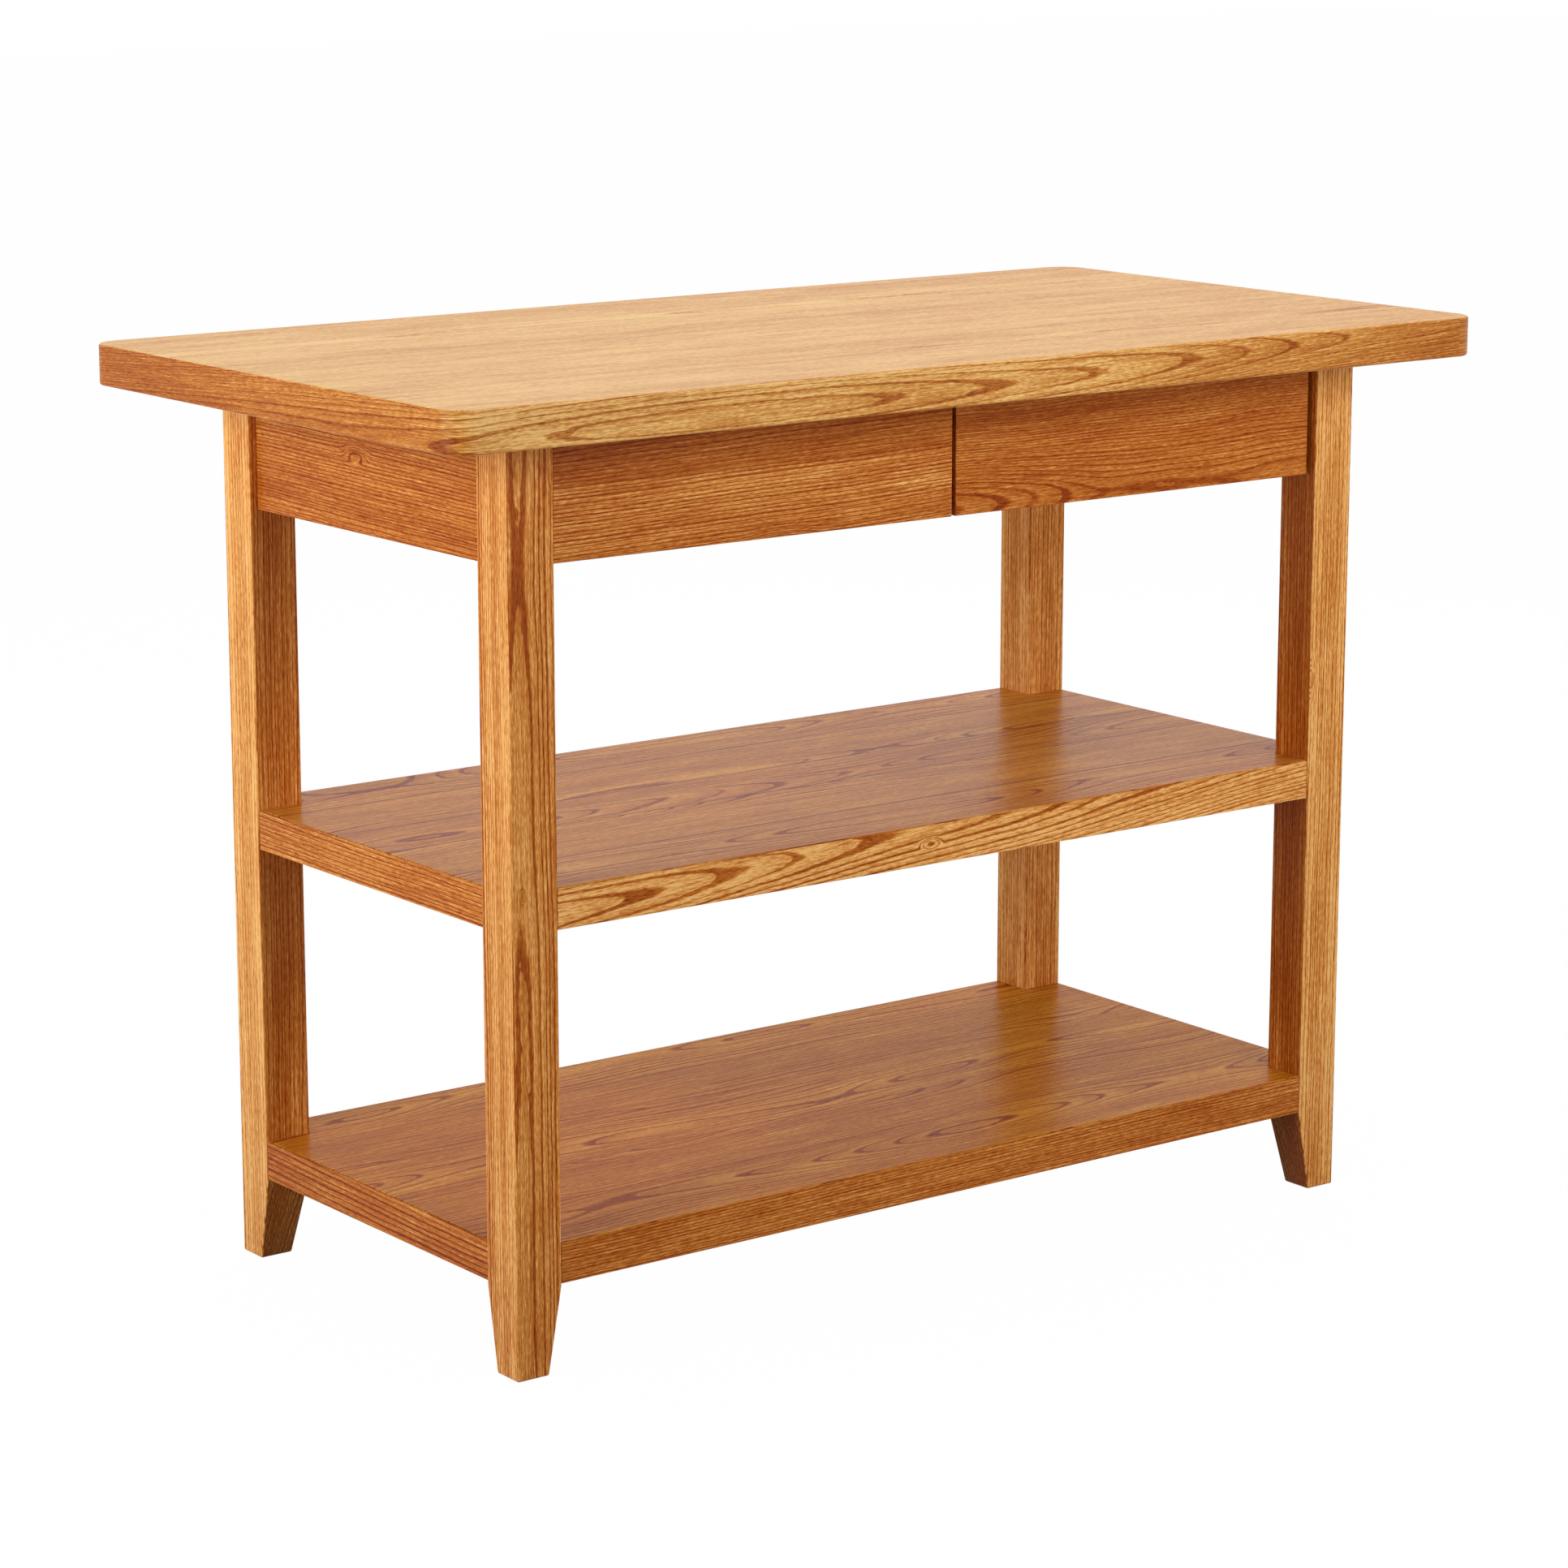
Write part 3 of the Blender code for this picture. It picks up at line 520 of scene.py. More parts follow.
class Shell:
    """A closed mesh under construction, before it becomes a piece."""

    def __init__(self) -> None:
        """Starts with no faces."""
        self.mesh = bmesh.new()

    @classmethod
    def lofted(cls, rings: list[list[Vector]]) -> "Shell":
        """A closed skin through rings of points that all have the same count.

        Args:
            rings: the rings in order, each in the same turning direction.

        Returns:
            The shell, with its faces outwards.
        """
        shell = cls()
        rows = [[shell.mesh.verts.new(point) for point in ring] for ring in rings]
        for lower, upper in zip(rows, rows[1:]):
            count = len(lower)
            for i in range(count):
                j = (i + 1) % count
                shell.mesh.faces.new((lower[i], lower[j], upper[j], upper[i]))
        shell.mesh.faces.new(rows[0])
        shell.mesh.faces.new(rows[-1])
        bmesh.ops.recalc_face_normals(shell.mesh, faces=shell.mesh.faces[:])
        return shell

    @classmethod
    def board(cls, low: Vector, high: Vector) -> "Shell":
        """A square-edged board between two corners."""
        plan = [(low.x, low.y), (high.x, low.y), (high.x, high.y), (low.x, high.y)]
        return cls.lofted([[Vector((x, y, z)) for x, y in plan] for z in (low.z, high.z)])

    @classmethod
    def of_node(cls, node: str) -> "Shell":
        """A copy of a CAD node's mesh, merged into a clean closed skin."""
        shell = cls()
        mesh = shell.mesh
        mesh.from_mesh(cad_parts[node].data)
        bmesh.ops.remove_doubles(mesh, verts=mesh.verts[:], dist=MERGE_DISTANCE)
        bmesh.ops.dissolve_limit(
            mesh, angle_limit=FLAT_ANGLE, verts=mesh.verts[:], edges=mesh.edges[:]
        )
        return shell

    def ease(self, width: float, segments: int = 3, sharper_than: float = 50.0) -> "Shell":
        """Rounds the edges that are sharper than an angle.

        Args:
            width: how far the round reaches from the edge.
            segments: facets in the round.
            sharper_than: the least turn between two faces, in degrees.

        Returns:
            The same shell.
        """
        limit = math.radians(sharper_than)
        edges = [edge for edge in self.mesh.edges if edge.calc_face_angle(0.0) > limit]
        bmesh.ops.bevel(
            self.mesh, geom=edges, offset=width, segments=segments, profile=0.5, affect="EDGES"
        )
        return self

    def split(self, axis: Axis, places: list[float]) -> "Shell":
        """Cuts the faces along planes across an axis, so that glued boards have faces of their own."""
        normal = Vector((0.0, 0.0, 0.0))
        normal[axis.value] = 1.0
        for place in places:
            geometry = self.mesh.verts[:] + self.mesh.edges[:] + self.mesh.faces[:]
            bmesh.ops.bisect_plane(self.mesh, geom=geometry, plane_co=normal * place, plane_no=normal)
        return self

    def piece(
        self,
        name: str,
        finishes: tuple[bpy.types.Material, ...],
        sawn: Callable[[bmesh.types.BMFace], tuple[Cut, Vector]],
        unrolled: Callable[[bmesh.types.BMFace, Vector], Vector] = lambda face, point: point,
    ) -> bpy.types.Object:
        """Writes each face's place in the log, smooths the eased edges and makes the object.

        Args:
            name: the piece's name.
            finishes: its finish, or several that the faces choose from.
            sawn: gives a face its cut and the middle of its board.
            unrolled: lays a point of a face that is bent round a corner out flat.

        Returns:
            The object, at the origin.
        """
        place_layer = self.mesh.loops.layers.float_vector.new(LOG_PLACE)
        cut_layer = self.mesh.loops.layers.float_color.new(BOARD_CUT)
        knot_layer = self.mesh.loops.layers.float_vector.new(KNOT_PLACE)
        for face in self.mesh.faces:
            face.smooth = True
            cut, centre = sawn(face)
            middle = face.calc_center_median()
            for loop in face.loops:
                place = cut.place(unrolled(face, loop.vert.co), centre)
                tone = cut.tone + cut.fade * (place.x - cut.start)
                loop[place_layer] = place
                loop[cut_layer] = (tone, cut.ring, cut.figure, cut.line)
                loop[knot_layer] = cut.from_knot(loop.vert.co, middle)
        mesh = bpy.data.meshes.new(name)
        self.mesh.to_mesh(mesh)
        self.mesh.free()
        piece = bpy.data.objects.new(name, mesh)
        bpy.context.scene.collection.objects.link(piece)
        weighted = piece.modifiers.new("weighted_normals", "WEIGHTED_NORMAL")
        weighted.weight = NORMAL_WEIGHT
        bake_modifiers(piece)
        piece.data.materials.clear()
        for finish in finishes:
            piece.data.materials.append(finish)
        return piece

    def single(self, name: str, material: bpy.types.Material, cut: Cut) -> bpy.types.Object:
        """Makes the object as one board of one cut."""
        points = [vert.co for vert in self.mesh.verts]
        low = Vector(min(point[i] for point in points) for i in range(3))
        high = Vector(max(point[i] for point in points) for i in range(3))
        centre = (low + high) / 2
        return self.piece(name, (material,), lambda face: (cut, centre))


def bake_modifiers(piece: bpy.types.Object) -> None:
    """Turns an object's modifiers into plain mesh and removes them."""
    bpy.context.view_layer.update()
    evaluated = piece.evaluated_get(bpy.context.evaluated_depsgraph_get())
    mesh = bpy.data.meshes.new_from_object(evaluated)
    mesh.name = piece.name
    piece.modifiers.clear()
    piece.data = mesh


def settle(piece: bpy.types.Object, body: str, slot: Slot, *nodes: str) -> None:
    """Sets a finished piece on its body in place of the CAD nodes that it stands for.

    Args:
        piece: the finished object.
        body: the CAD body that carries it.
        slot: not used.
        nodes: the CAD nodes that it replaces.
    """
    if nodes:
        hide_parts(*nodes)
    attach(piece, body)
    LOG.info("%s on %s, %d faces", piece.name, body, len(piece.data.polygons))


def corners(node: str) -> tuple[Vector, Vector]:
    """Lowest and highest corner of a CAD node as vectors."""
    low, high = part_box(node)
    return Vector(low), Vector(high)


@dataclass
class Worktop:
    """Glued-up worktop with round corners and long grain on all its edges.

    Each board has its pith, across and in depth, and its tone, and is taken a little further along the log
    than the last. The edge is a strip with a cut of its own. It fades slowly to the middle of the long side
    and quickly after it, and the short end runs from its near tone to its far one.
    """

    corner_radius: float = 28.0 * MM
    ease: float = 2.2 * MM
    corner_steps: int = 14
    ease_steps: int = 4
    edge_slope: float = 0.8
    board_widths: tuple[float, ...] = (0.104, 0.092, 0.118, 0.101, 0.112)
    boards: tuple[tuple[float, float, float], ...] = (
        (0.075, -0.040, 0.12),
        (-0.025, -0.050, 0.05),
        (0.085, -0.036, 0.15),
        (-0.070, -0.055, 0.08),
        (0.020, -0.042, 0.16),
        (-0.080, -0.048, 0.07),
    )
    board_step: float = 1.7
    board_cut: Cut = Cut(Axis.X, (0.0, 0.0), (0.004, 0.005), 2.8 * MM, 12.0 * MM, line=0.5, fade=-0.1)
    edge_cut: Cut = Cut(
        Axis.X, (0.035, -0.002), (0.006, 0.028), 2.2 * MM, 36.0 * MM, 0.10, 16.0, 0.7, fade=-0.08
    )
    far_fade: float = -1.0
    near_end_tone: float = -0.30
    far_end_tone: float = -0.66

    def outline(self, inset: float, height: float) -> list[Vector]:
        """The plan of the worktop, drawn in by an inset, at one height.

        Args:
            inset: how far inside the edge.
            height: the height of the ring.

        Returns:
            The ring of points.
        """
        low, high = corners("tabletop")
        reach = self.corner_radius - inset
        points = []
        turns = ((1, -1, -90), (1, 1, 0), (-1, 1, 90), (-1, -1, 180))
        for side_x, side_y, start in turns:
            centre_x = (high.x if side_x > 0 else low.x) - side_x * self.corner_radius
            centre_y = (high.y if side_y > 0 else low.y) - side_y * self.corner_radius
            for step in range(self.corner_steps + 1):
                angle = math.radians(start + 90 * step / self.corner_steps)
                x = centre_x + reach * math.cos(angle)
                y = centre_y + reach * math.sin(angle)
                points.append(Vector((x, y, height)))
        return points

    def rings(self) -> list[list[Vector]]:
        """Rings from the underside to the top, round at both edges."""
        low, high = corners("tabletop")
        rounds = []
        for step in range(self.ease_steps + 1):
            angle = math.pi / 2 * step / self.ease_steps
            rounds.append((self.ease * (1 - math.sin(angle)), self.ease * (1 - math.cos(angle))))
        lower = [self.outline(inset, low.z + lift) for inset, lift in rounds]
        upper = [self.outline(inset, high.z - lift) for inset, lift in reversed(rounds)]
        return lower + upper

    def straight(self) -> tuple[float, float]:
        """How far the straight parts of the edges reach from the middle, along x and y."""
        high = corners("tabletop")[1]
        return high.x - self.corner_radius, high.y - self.corner_radius

    def is_edge(self, face: bmesh.types.BMFace) -> bool:
        """Whether a face belongs to the edge, not to the top or the underside."""
        return abs(face.normal.z) < self.edge_slope

    def on_strip(self, middle: Vector, point: Vector) -> Vector:
        """Place of a point of the edge on a straight strip that is bent round one corner.

        One strip runs along the front and round the near corner to the left end, its twin along the back to
        the right end.

        Args:
            middle: the middle of the point's face.
            point: the point on the edge.

        Returns:
            The point on the strip, with x along it.
        """
        radius = self.corner_radius
        straight_x, straight_y = self.straight()
        front = middle.y < -straight_y and middle.x < straight_x
        turn = 1.0 if front or middle.x < -straight_x else -1.0
        x, y = turn * point.x, turn * point.y
        if x >= -straight_x:
            along = x
        elif y <= -straight_y:
            along = -straight_x - radius * math.atan2(-straight_x - x, -straight_y - y)
        else:
            along = -straight_x - radius * math.pi / 2 - (y + straight_y)
        return Vector((along, 0.0, point.z))

    def build(self, finish: bpy.types.Material, edge_finish: bpy.types.Material) -> None:
        """Makes the worktop and sets it on the frame.

        Args:
            finish: the lacquered ash of its faces.
            edge_finish: the lacquered ash of its edges.
        """
        low, high = corners("tabletop")
        middle = (low + high) / 2
        joints = [low.y + width for width in accumulate(self.board_widths)]
        sides = [low.y, *joints, high.y]
        shell = Shell.lofted(self.rings()).split(Axis.Y, joints).split(Axis.X, [0.0])
        boards = [
            replace(self.board_cut, pith=(across, depth), tone=tone, start=self.board_step * i)
            for i, (across, depth, tone) in enumerate(self.boards)
        ]
        edge = self.edge_cut
        far_edge = replace(edge, fade=self.far_fade)
        straight_x, straight_y = self.straight()
        end_fade = (self.near_end_tone - self.far_end_tone) / (2 * straight_y)
        end_start = -straight_x - self.corner_radius * math.pi / 2
        end = replace(edge, tone=self.near_end_tone - end_fade * end_start, fade=end_fade)
        strip_middle = Vector((0.0, 0.0, middle.z))

        def sawn(face: bmesh.types.BMFace) -> tuple[Cut, Vector]:
            """Cut of the board or strip that a face of the worktop belongs to."""
            place = face.calc_center_median()
            if not self.is_edge(face):
                index = sum(place.y > joint for joint in joints)
                return boards[index], Vector((0.0, (sides[index] + sides[index + 1]) / 2, middle.z))
            face.material_index = 1
            end_share = face.normal.x**2 / (face.normal.x**2 + face.normal.y**2)
            if end_share < STRAIGHT:
                return (far_edge if self.on_strip(place, place).x > 0.0 else edge), strip_middle
            if end_share > 1.0 - STRAIGHT:
                return end, strip_middle
            near = place.x * place.y > 0.0
            end_tone = self.near_end_tone if near else self.far_end_tone
            long_tone = edge.tone + (-edge.fade if near else self.far_fade) * straight_x
            tone = long_tone + (end_tone - long_tone) * end_share
            return replace(edge, tone=tone, fade=0.0), strip_middle

        def unrolled(face: bmesh.types.BMFace, point: Vector) -> Vector:
            """A point of the edge on its straight strip, and any other point as it is."""
            return self.on_strip(face.calc_center_median(), point) if self.is_edge(face) else point

        piece = shell.piece("worktop", (finish, edge_finish), sawn, unrolled)
        settle(piece, ROOT_BODY, Slot.WORKTOP, "tabletop")


@dataclass
class LegFrame:
    """Four tapered legs with the aprons, the rail and the packers between them.

    The two side tones of each leg belong to its left and front faces, the ones that face the camera: partly
    the wood's own tone, partly painted light on lit faces and painted shade on inner faces that lie in
    shadow.
    """

    leg_ease: float = 1.8 * MM
    board_ease: float = 1.0 * MM
    joint_gap: float = 0.3 * MM
    foot_taper: float = 14.5 * MM
    foot_start: float = 2.0 * MM
    knot_split: float = 0.64
    leg_cuts: dict[str, Cut] = field(
        default_factory=lambda: {
            "leg_front_left": Cut(
                Axis.Z, (-0.014, 0.026), (0.002, 0.006), 2.4 * MM, 3.0 * MM, 0.0, 0.3, 1.0, LEG_KNOTS
            ),
            "leg_front_right": Cut(
                Axis.Z, (0.055, 0.055), (0.002, 0.003), 2.4 * MM, 1.4 * MM, 0.0, 2.1, 0.75, FAR_LEG_KNOTS
            ),
            "leg_back_left": Cut(
                Axis.Z, (0.055, 0.055), (0.003, 0.002), 2.4 * MM, 1.4 * MM, 0.0, 3.9, 0.7
            ),
            "leg_back_right": Cut(
                Axis.Z, (0.055, 0.060), (0.003, 0.003), 2.4 * MM, 1.4 * MM, 0.0, 5.2, 0.7
            ),
        }
    )
    # Painted light and shade: each leg's left and front faces are lighter where lit and darker where in
    # shadow, partly the wood's own tone.
    side_tones_and_shading: dict[str, tuple[float, float]] = field(
        default_factory=lambda: {
            "leg_front_left": (0.1, -0.16),
            "leg_front_right": (-0.44, 0.13),
            "leg_back_left": (0.19, -0.21),
            "leg_back_right": (0.13, -0.04),
        }
    )
    # The aprons' tones are lowered as painted shade under the worktop's overhang, most on the left one.
    apron_cuts: dict[str, Cut] = field(
        default_factory=lambda: {
            "apron_left": Cut(
                Axis.Y, (0.030, 0.080), (0.006, 0.02), 3.0 * MM, 5.0 * MM, -0.4, 7.0, 1.0, APRON_KNOTS
            ),
            "apron_right": Cut(Axis.Y, (-0.030, 0.070), (0.004, 0.02), 3.2 * MM, 5.0 * MM, -0.25, 8.0),
            "apron_back": Cut(Axis.X, (-0.030, 0.060), (0.004, 0.02), 3.4 * MM, 5.0 * MM, -0.25, 9.5),
        }
    )
    rail_cut: Cut = Cut(Axis.X)
    packer_cut: Cut = Cut(Axis.Y, start=11.0)

    def leg(self, node: str, finish: bpy.types.Material) -> None:
        """Makes one leg, tapered at the foot on its two inner faces."""
        low, high = corners(node)
        bend = corners("low_shelf_rail_front")[0].z - self.foot_start
        inward_x = 1 if low.x < 0 else -1
        inward_y = 1 if low.y < 0 else -1

        def ring(height: float, taper: float) -> list[Vector]:
            """Square section of the leg at one height, its inner faces drawn in by the taper."""
            left = low.x + (taper if inward_x < 0 else 0.0)
            right = high.x - (taper if inward_x > 0 else 0.0)
            near = low.y + (taper if inward_y < 0 else 0.0)
            far = high.y - (taper if inward_y > 0 else 0.0)
            plan = ((left, near), (right, near), (right, far), (left, far))
            return [Vector((x, y, height)) for x, y in plan]

        rings = [ring(low.z, self.foot_taper), ring(bend, 0.0), ring(high.z, 0.0)]
        shell = Shell.lofted(rings).ease(self.leg_ease).split(Axis.Z, [self.knot_split])
        cut = self.leg_cuts[node]
        # Each side that faces the camera takes painted light and shade on top of the leg's tone.
        sides = [replace(cut, tone=cut.tone + tone) for tone in self.side_tones_and_shading[node]]
        centre = (low + high) / 2

        def sawn(face: bmesh.types.BMFace) -> tuple[Cut, Vector]:
            """Cut of the leg, with a tone of its own on each side that faces the camera: painted light and
            shade on top of the wood's tone.
            """
            if face.normal.x + face.normal.y > 0.0:
                return cut, centre
            return sides[abs(face.normal.x) < abs(face.normal.y)], centre

        settle(shell.piece(node, (finish,), sawn), ROOT_BODY, Slot.FRAME, node)

    def between_legs(self, node: str, axis: Axis) -> tuple[Vector, Vector]:
        """Corners of a rail's visible length, from shoulder to shoulder.

        Args:
            node: the rail's CAD node.
            axis: the direction that it runs in.

        Returns:
            Its lowest and highest corner.
        """
        low, high = corners(node)
        first = corners("leg_front_left")[1][axis.value]
        last = corners("leg_back_right")[0][axis.value]
        low[axis.value] = first + self.joint_gap
        high[axis.value] = last - self.joint_gap
        return low, high

    def build(self, finish: bpy.types.Material, inner: bpy.types.Material) -> None:
        """Makes the legs and the boards between them.

        Args:
            finish: the lacquered ash of what shows.
            inner: the timber of what is hidden.
        """
        for node in self.leg_cuts:
            self.leg(node, finish)
        for node, cut in self.apron_cuts.items():
            shell = Shell.board(*self.between_legs(node, cut.grain)).ease(self.board_ease)
            settle(shell.single(node, finish, cut), ROOT_BODY, Slot.FRAME, node)
        node = "front_top_rail"
        shell = Shell.board(*self.between_legs(node, self.rail_cut.grain)).ease(self.board_ease)
        settle(shell.single(node, inner, self.rail_cut), ROOT_BODY, Slot.INNER, node)
        for node in ("drawer_divider", "slide_packer_left", "slide_packer_right"):
            shell = Shell.of_node(node)
            settle(shell.single(node, inner, self.packer_cut), ROOT_BODY, Slot.INNER, node)


@dataclass
class Shelf:
    """A shelf: glued panel, four rails mitred to it, and corner braces below.

    Each board of the panel has its own pith and tone, and is taken a little further along the log than the
    last. The tones are lowered as painted shade under the worktop, most on the low shelf. The joints
    between them are drawn wider than they are, so that they show in the render.
    """

    name: str
    board_widths: tuple[float, ...]
    front_cut: Cut
    end_cut: Cut
    top_cut: Cut
    board_tones_and_shade: tuple[float, ...]
    piths: tuple[tuple[float, float], ...] = (
        (0.012, -0.034),
        (0.060, -0.050),
        (-0.010, -0.042),
        (-0.055, -0.046),
        (0.010, -0.036),
    )
    board_step: float = 1.9
    twin_step: float = 5.0
    brace_cut: Cut = Cut(Axis.X, start=12.0)
    ease: float = 0.6 * MM
    ease_steps: int = 2
    joint_width: float = 2.0 * MM
    joint_shade: float = 1.8

    def panel(self, finish: bpy.types.Material) -> None:
        """Makes the panel of glued boards."""
        node = f"{self.name}_panel"
        low, high = corners(node)
        joints = [low.y + width for width in accumulate(self.board_widths)]
        sides = [low.y, *joints, high.y]
        half = self.joint_width / 2
        splits = [joint + side * half for joint in joints for side in (-1, 1)]
        shell = Shell.of_node(node).ease(self.ease, self.ease_steps).split(Axis.Y, splits)

        def sawn(face: bmesh.types.BMFace) -> tuple[Cut, Vector]:
            """Cut of the board that a face of the panel belongs to, dark in the joints between them."""
            across = face.calc_center_median().y
            index = sum(across > joint - half for joint in joints)
            in_joint = any(abs(across - joint) < half for joint in joints)
            # The board's tone includes painted shade under the worktop; the joints are darker still.
            cut = replace(
                self.top_cut,
                pith=self.piths[index],
                tone=self.board_tones_and_shade[index] - self.joint_shade * in_joint,
                start=self.top_cut.start + self.board_step * index,
            )
            return cut, Vector((0.0, (sides[index] + sides[index + 1]) / 2, high.z))

        settle(shell.piece(node, (finish,), sawn), ROOT_BODY, Slot.SHELF, node)

    def build(
        self, finish: bpy.types.Material, edge: bpy.types.Material, inner: bpy.types.Material
    ) -> None:
        """Makes the panel, the rails and the braces.

        Args:
            finish: the lacquered ash of the panel.
            edge: the lacquered ash of the rails.
            inner: the timber of the braces.
        """
        self.panel(finish)
        cuts = {
            "front": self.front_cut,
            "back": replace(self.front_cut, start=self.front_cut.start + self.twin_step),
            "left": self.end_cut,
            "right": replace(self.end_cut, start=self.end_cut.start + self.twin_step),
        }
        for side, cut in cuts.items():
            node = f"{self.name}_rail_{side}"
            shell = Shell.of_node(node).ease(self.ease, self.ease_steps)
            settle(shell.single(node, edge, cut), ROOT_BODY, Slot.SHELF, node)
        for end in ENDS:
            for hand in HANDS:
                node = f"{self.name}_brace_{end}_{hand}"
                shell = Shell.of_node(node).ease(self.ease, self.ease_steps)
                settle(shell.single(node, inner, self.brace_cut), ROOT_BODY, Slot.INNER, node)


# Most tones of the shelves are lowered as painted shade under the worktop, deepest on the low shelf near
# the floor.
SHELVES = (
    Shelf(
        "mid_shelf",
        (0.095, 0.110, 0.088, 0.102),
        Cut(Axis.X, (0.030, 0.020), (0.035, 0.055), 3.0 * MM, 9.0 * MM, 0.1, 31.0, 1.0, RAIL_KNOTS),
        Cut(Axis.Y, (0.030, 0.060), (0.004, 0.010), 3.4 * MM, 4.0 * MM, -0.27, 33.0),
        Cut(Axis.X, (0.0, 0.0), (0.002, 0.006), 4.0 * MM, 34.0 * MM, 0.0, 35.0, 0.95),
        (-0.2, -0.16, -0.24, -0.18, -0.21),
    ),
    Shelf(
        "low_shelf",
        (0.102, 0.092, 0.108, 0.096),
        Cut(Axis.X, (0.030, 0.090), (0.004, 0.010), 2.6 * MM, 3.0 * MM, -0.35, 41.0),
        Cut(Axis.Y, (0.030, -0.040), (0.004, 0.020), 4.0 * MM, 5.0 * MM, -0.43, 43.0),
        Cut(Axis.X, (0.0, 0.0), (0.002, 0.006), 4.0 * MM, 36.0 * MM, 0.0, 45.0, 0.9, fade=0.15),
        (-0.38, -0.43, -0.36, -0.41, -0.35),
        joint_shade=0.5,
    ),
)


@dataclass
class Drawer:
    """A drawer: lacquered front with a finger cove behind its lower edge, and a box of five boards."""

    hand: str
    front_cut: Cut
    upper_shade: float
    upper_line: float = 0.7
    joint_height: float = 0.800
    front_ease: float = 1.0 * MM
    cove: float = 12.0 * MM
    cove_steps: int = 12
    box_ease: float = 0.5 * MM
    box_ease_steps: int = 2
    box_cut: Cut = Cut(Axis.X, (0.06, 0.02), (0.004, 0.01), 3.4 * MM, 4.0 * MM, 0.0, 21.0)
    side_start: float = 23.0
    bottom_cut: Cut = Cut(Axis.X, (0.02, -0.3), (0.0, 0.006), 2.4 * MM, 7.0 * MM, 0.0, 25.0)

    def front(self, finish: bpy.types.Material) -> None:
        """Makes the front board with its cove."""
        node = f"{self.hand}_drawer_front"
        low, high = corners(node)
        section = [(low.y, low.z), (low.y, high.z), (high.y, high.z)]
        for step in range(self.cove_steps + 1):
            angle = math.pi / 2 * step / self.cove_steps
            section.append((high.y - self.cove * math.sin(angle), low.z + self.cove * math.cos(angle)))
        rings = [[Vector((x, y, z)) for y, z in section] for x in (low.x, high.x)]
        shell = Shell.lofted(rings).ease(self.front_ease).split(Axis.Z, [self.joint_height])
        centre = (low + high) / 2
        lower = self.front_cut
        upper = replace(lower, tone=lower.tone - self.upper_shade, line=self.upper_line)

        def sawn(face: bmesh.types.BMFace) -> tuple[Cut, Vector]:
            """Cut of the front, a darker board of the same log in its upper part."""
            return (upper if face.calc_center_median().z > self.joint_height else lower), centre

        piece = shell.piece(node, (finish,), sawn)
        settle(piece, f"{self.hand}_drawer", Slot.DRAWER_FRONT, node)

    def build(
        self, finish: bpy.types.Material, box: bpy.types.Material, plywood: bpy.types.Material
    ) -> None:
        """Makes the boards of the drawer.

        Args:
            finish: the lacquered ash of the front.
            box: the timber of the box.
            plywood: the sheet of the bottom.
        """
        self.front(finish)
        body = f"{self.hand}_drawer"
        side_cut = replace(self.box_cut, grain=Axis.Y, start=self.side_start)
        for board, cut in (
            ("box_front", self.box_cut),
            ("box_back", self.box_cut),
            ("side_left", side_cut),
            ("side_right", side_cut),
        ):
            node = f"{self.hand}_drawer_{board}"
            shell = Shell.of_node(node).ease(self.box_ease, self.box_ease_steps)
            settle(shell.single(node, box, cut), body, Slot.BOX, node)
        node = f"{self.hand}_drawer_bottom"
        shell = Shell.of_node(node)
        settle(shell.single(node, plywood, self.bottom_cut), body, Slot.PLYWOOD, node)


DRAWERS = (
    Drawer(
        "left",
        Cut(Axis.X, (0.020, 0.085), (0.004, 0.030), 3.4 * MM, 7.0 * MM, -0.2, 51.0, 1.0, DRAWER_KNOTS),
        upper_shade=0.28,
    ),
    Drawer(
        "right",
        Cut(Axis.X, (0.030, -0.050), (0.004, 0.020), 2.2 * MM, 18.0 * MM, -0.42, 53.0, 0.8),
        upper_shade=0.0,
    ),
)


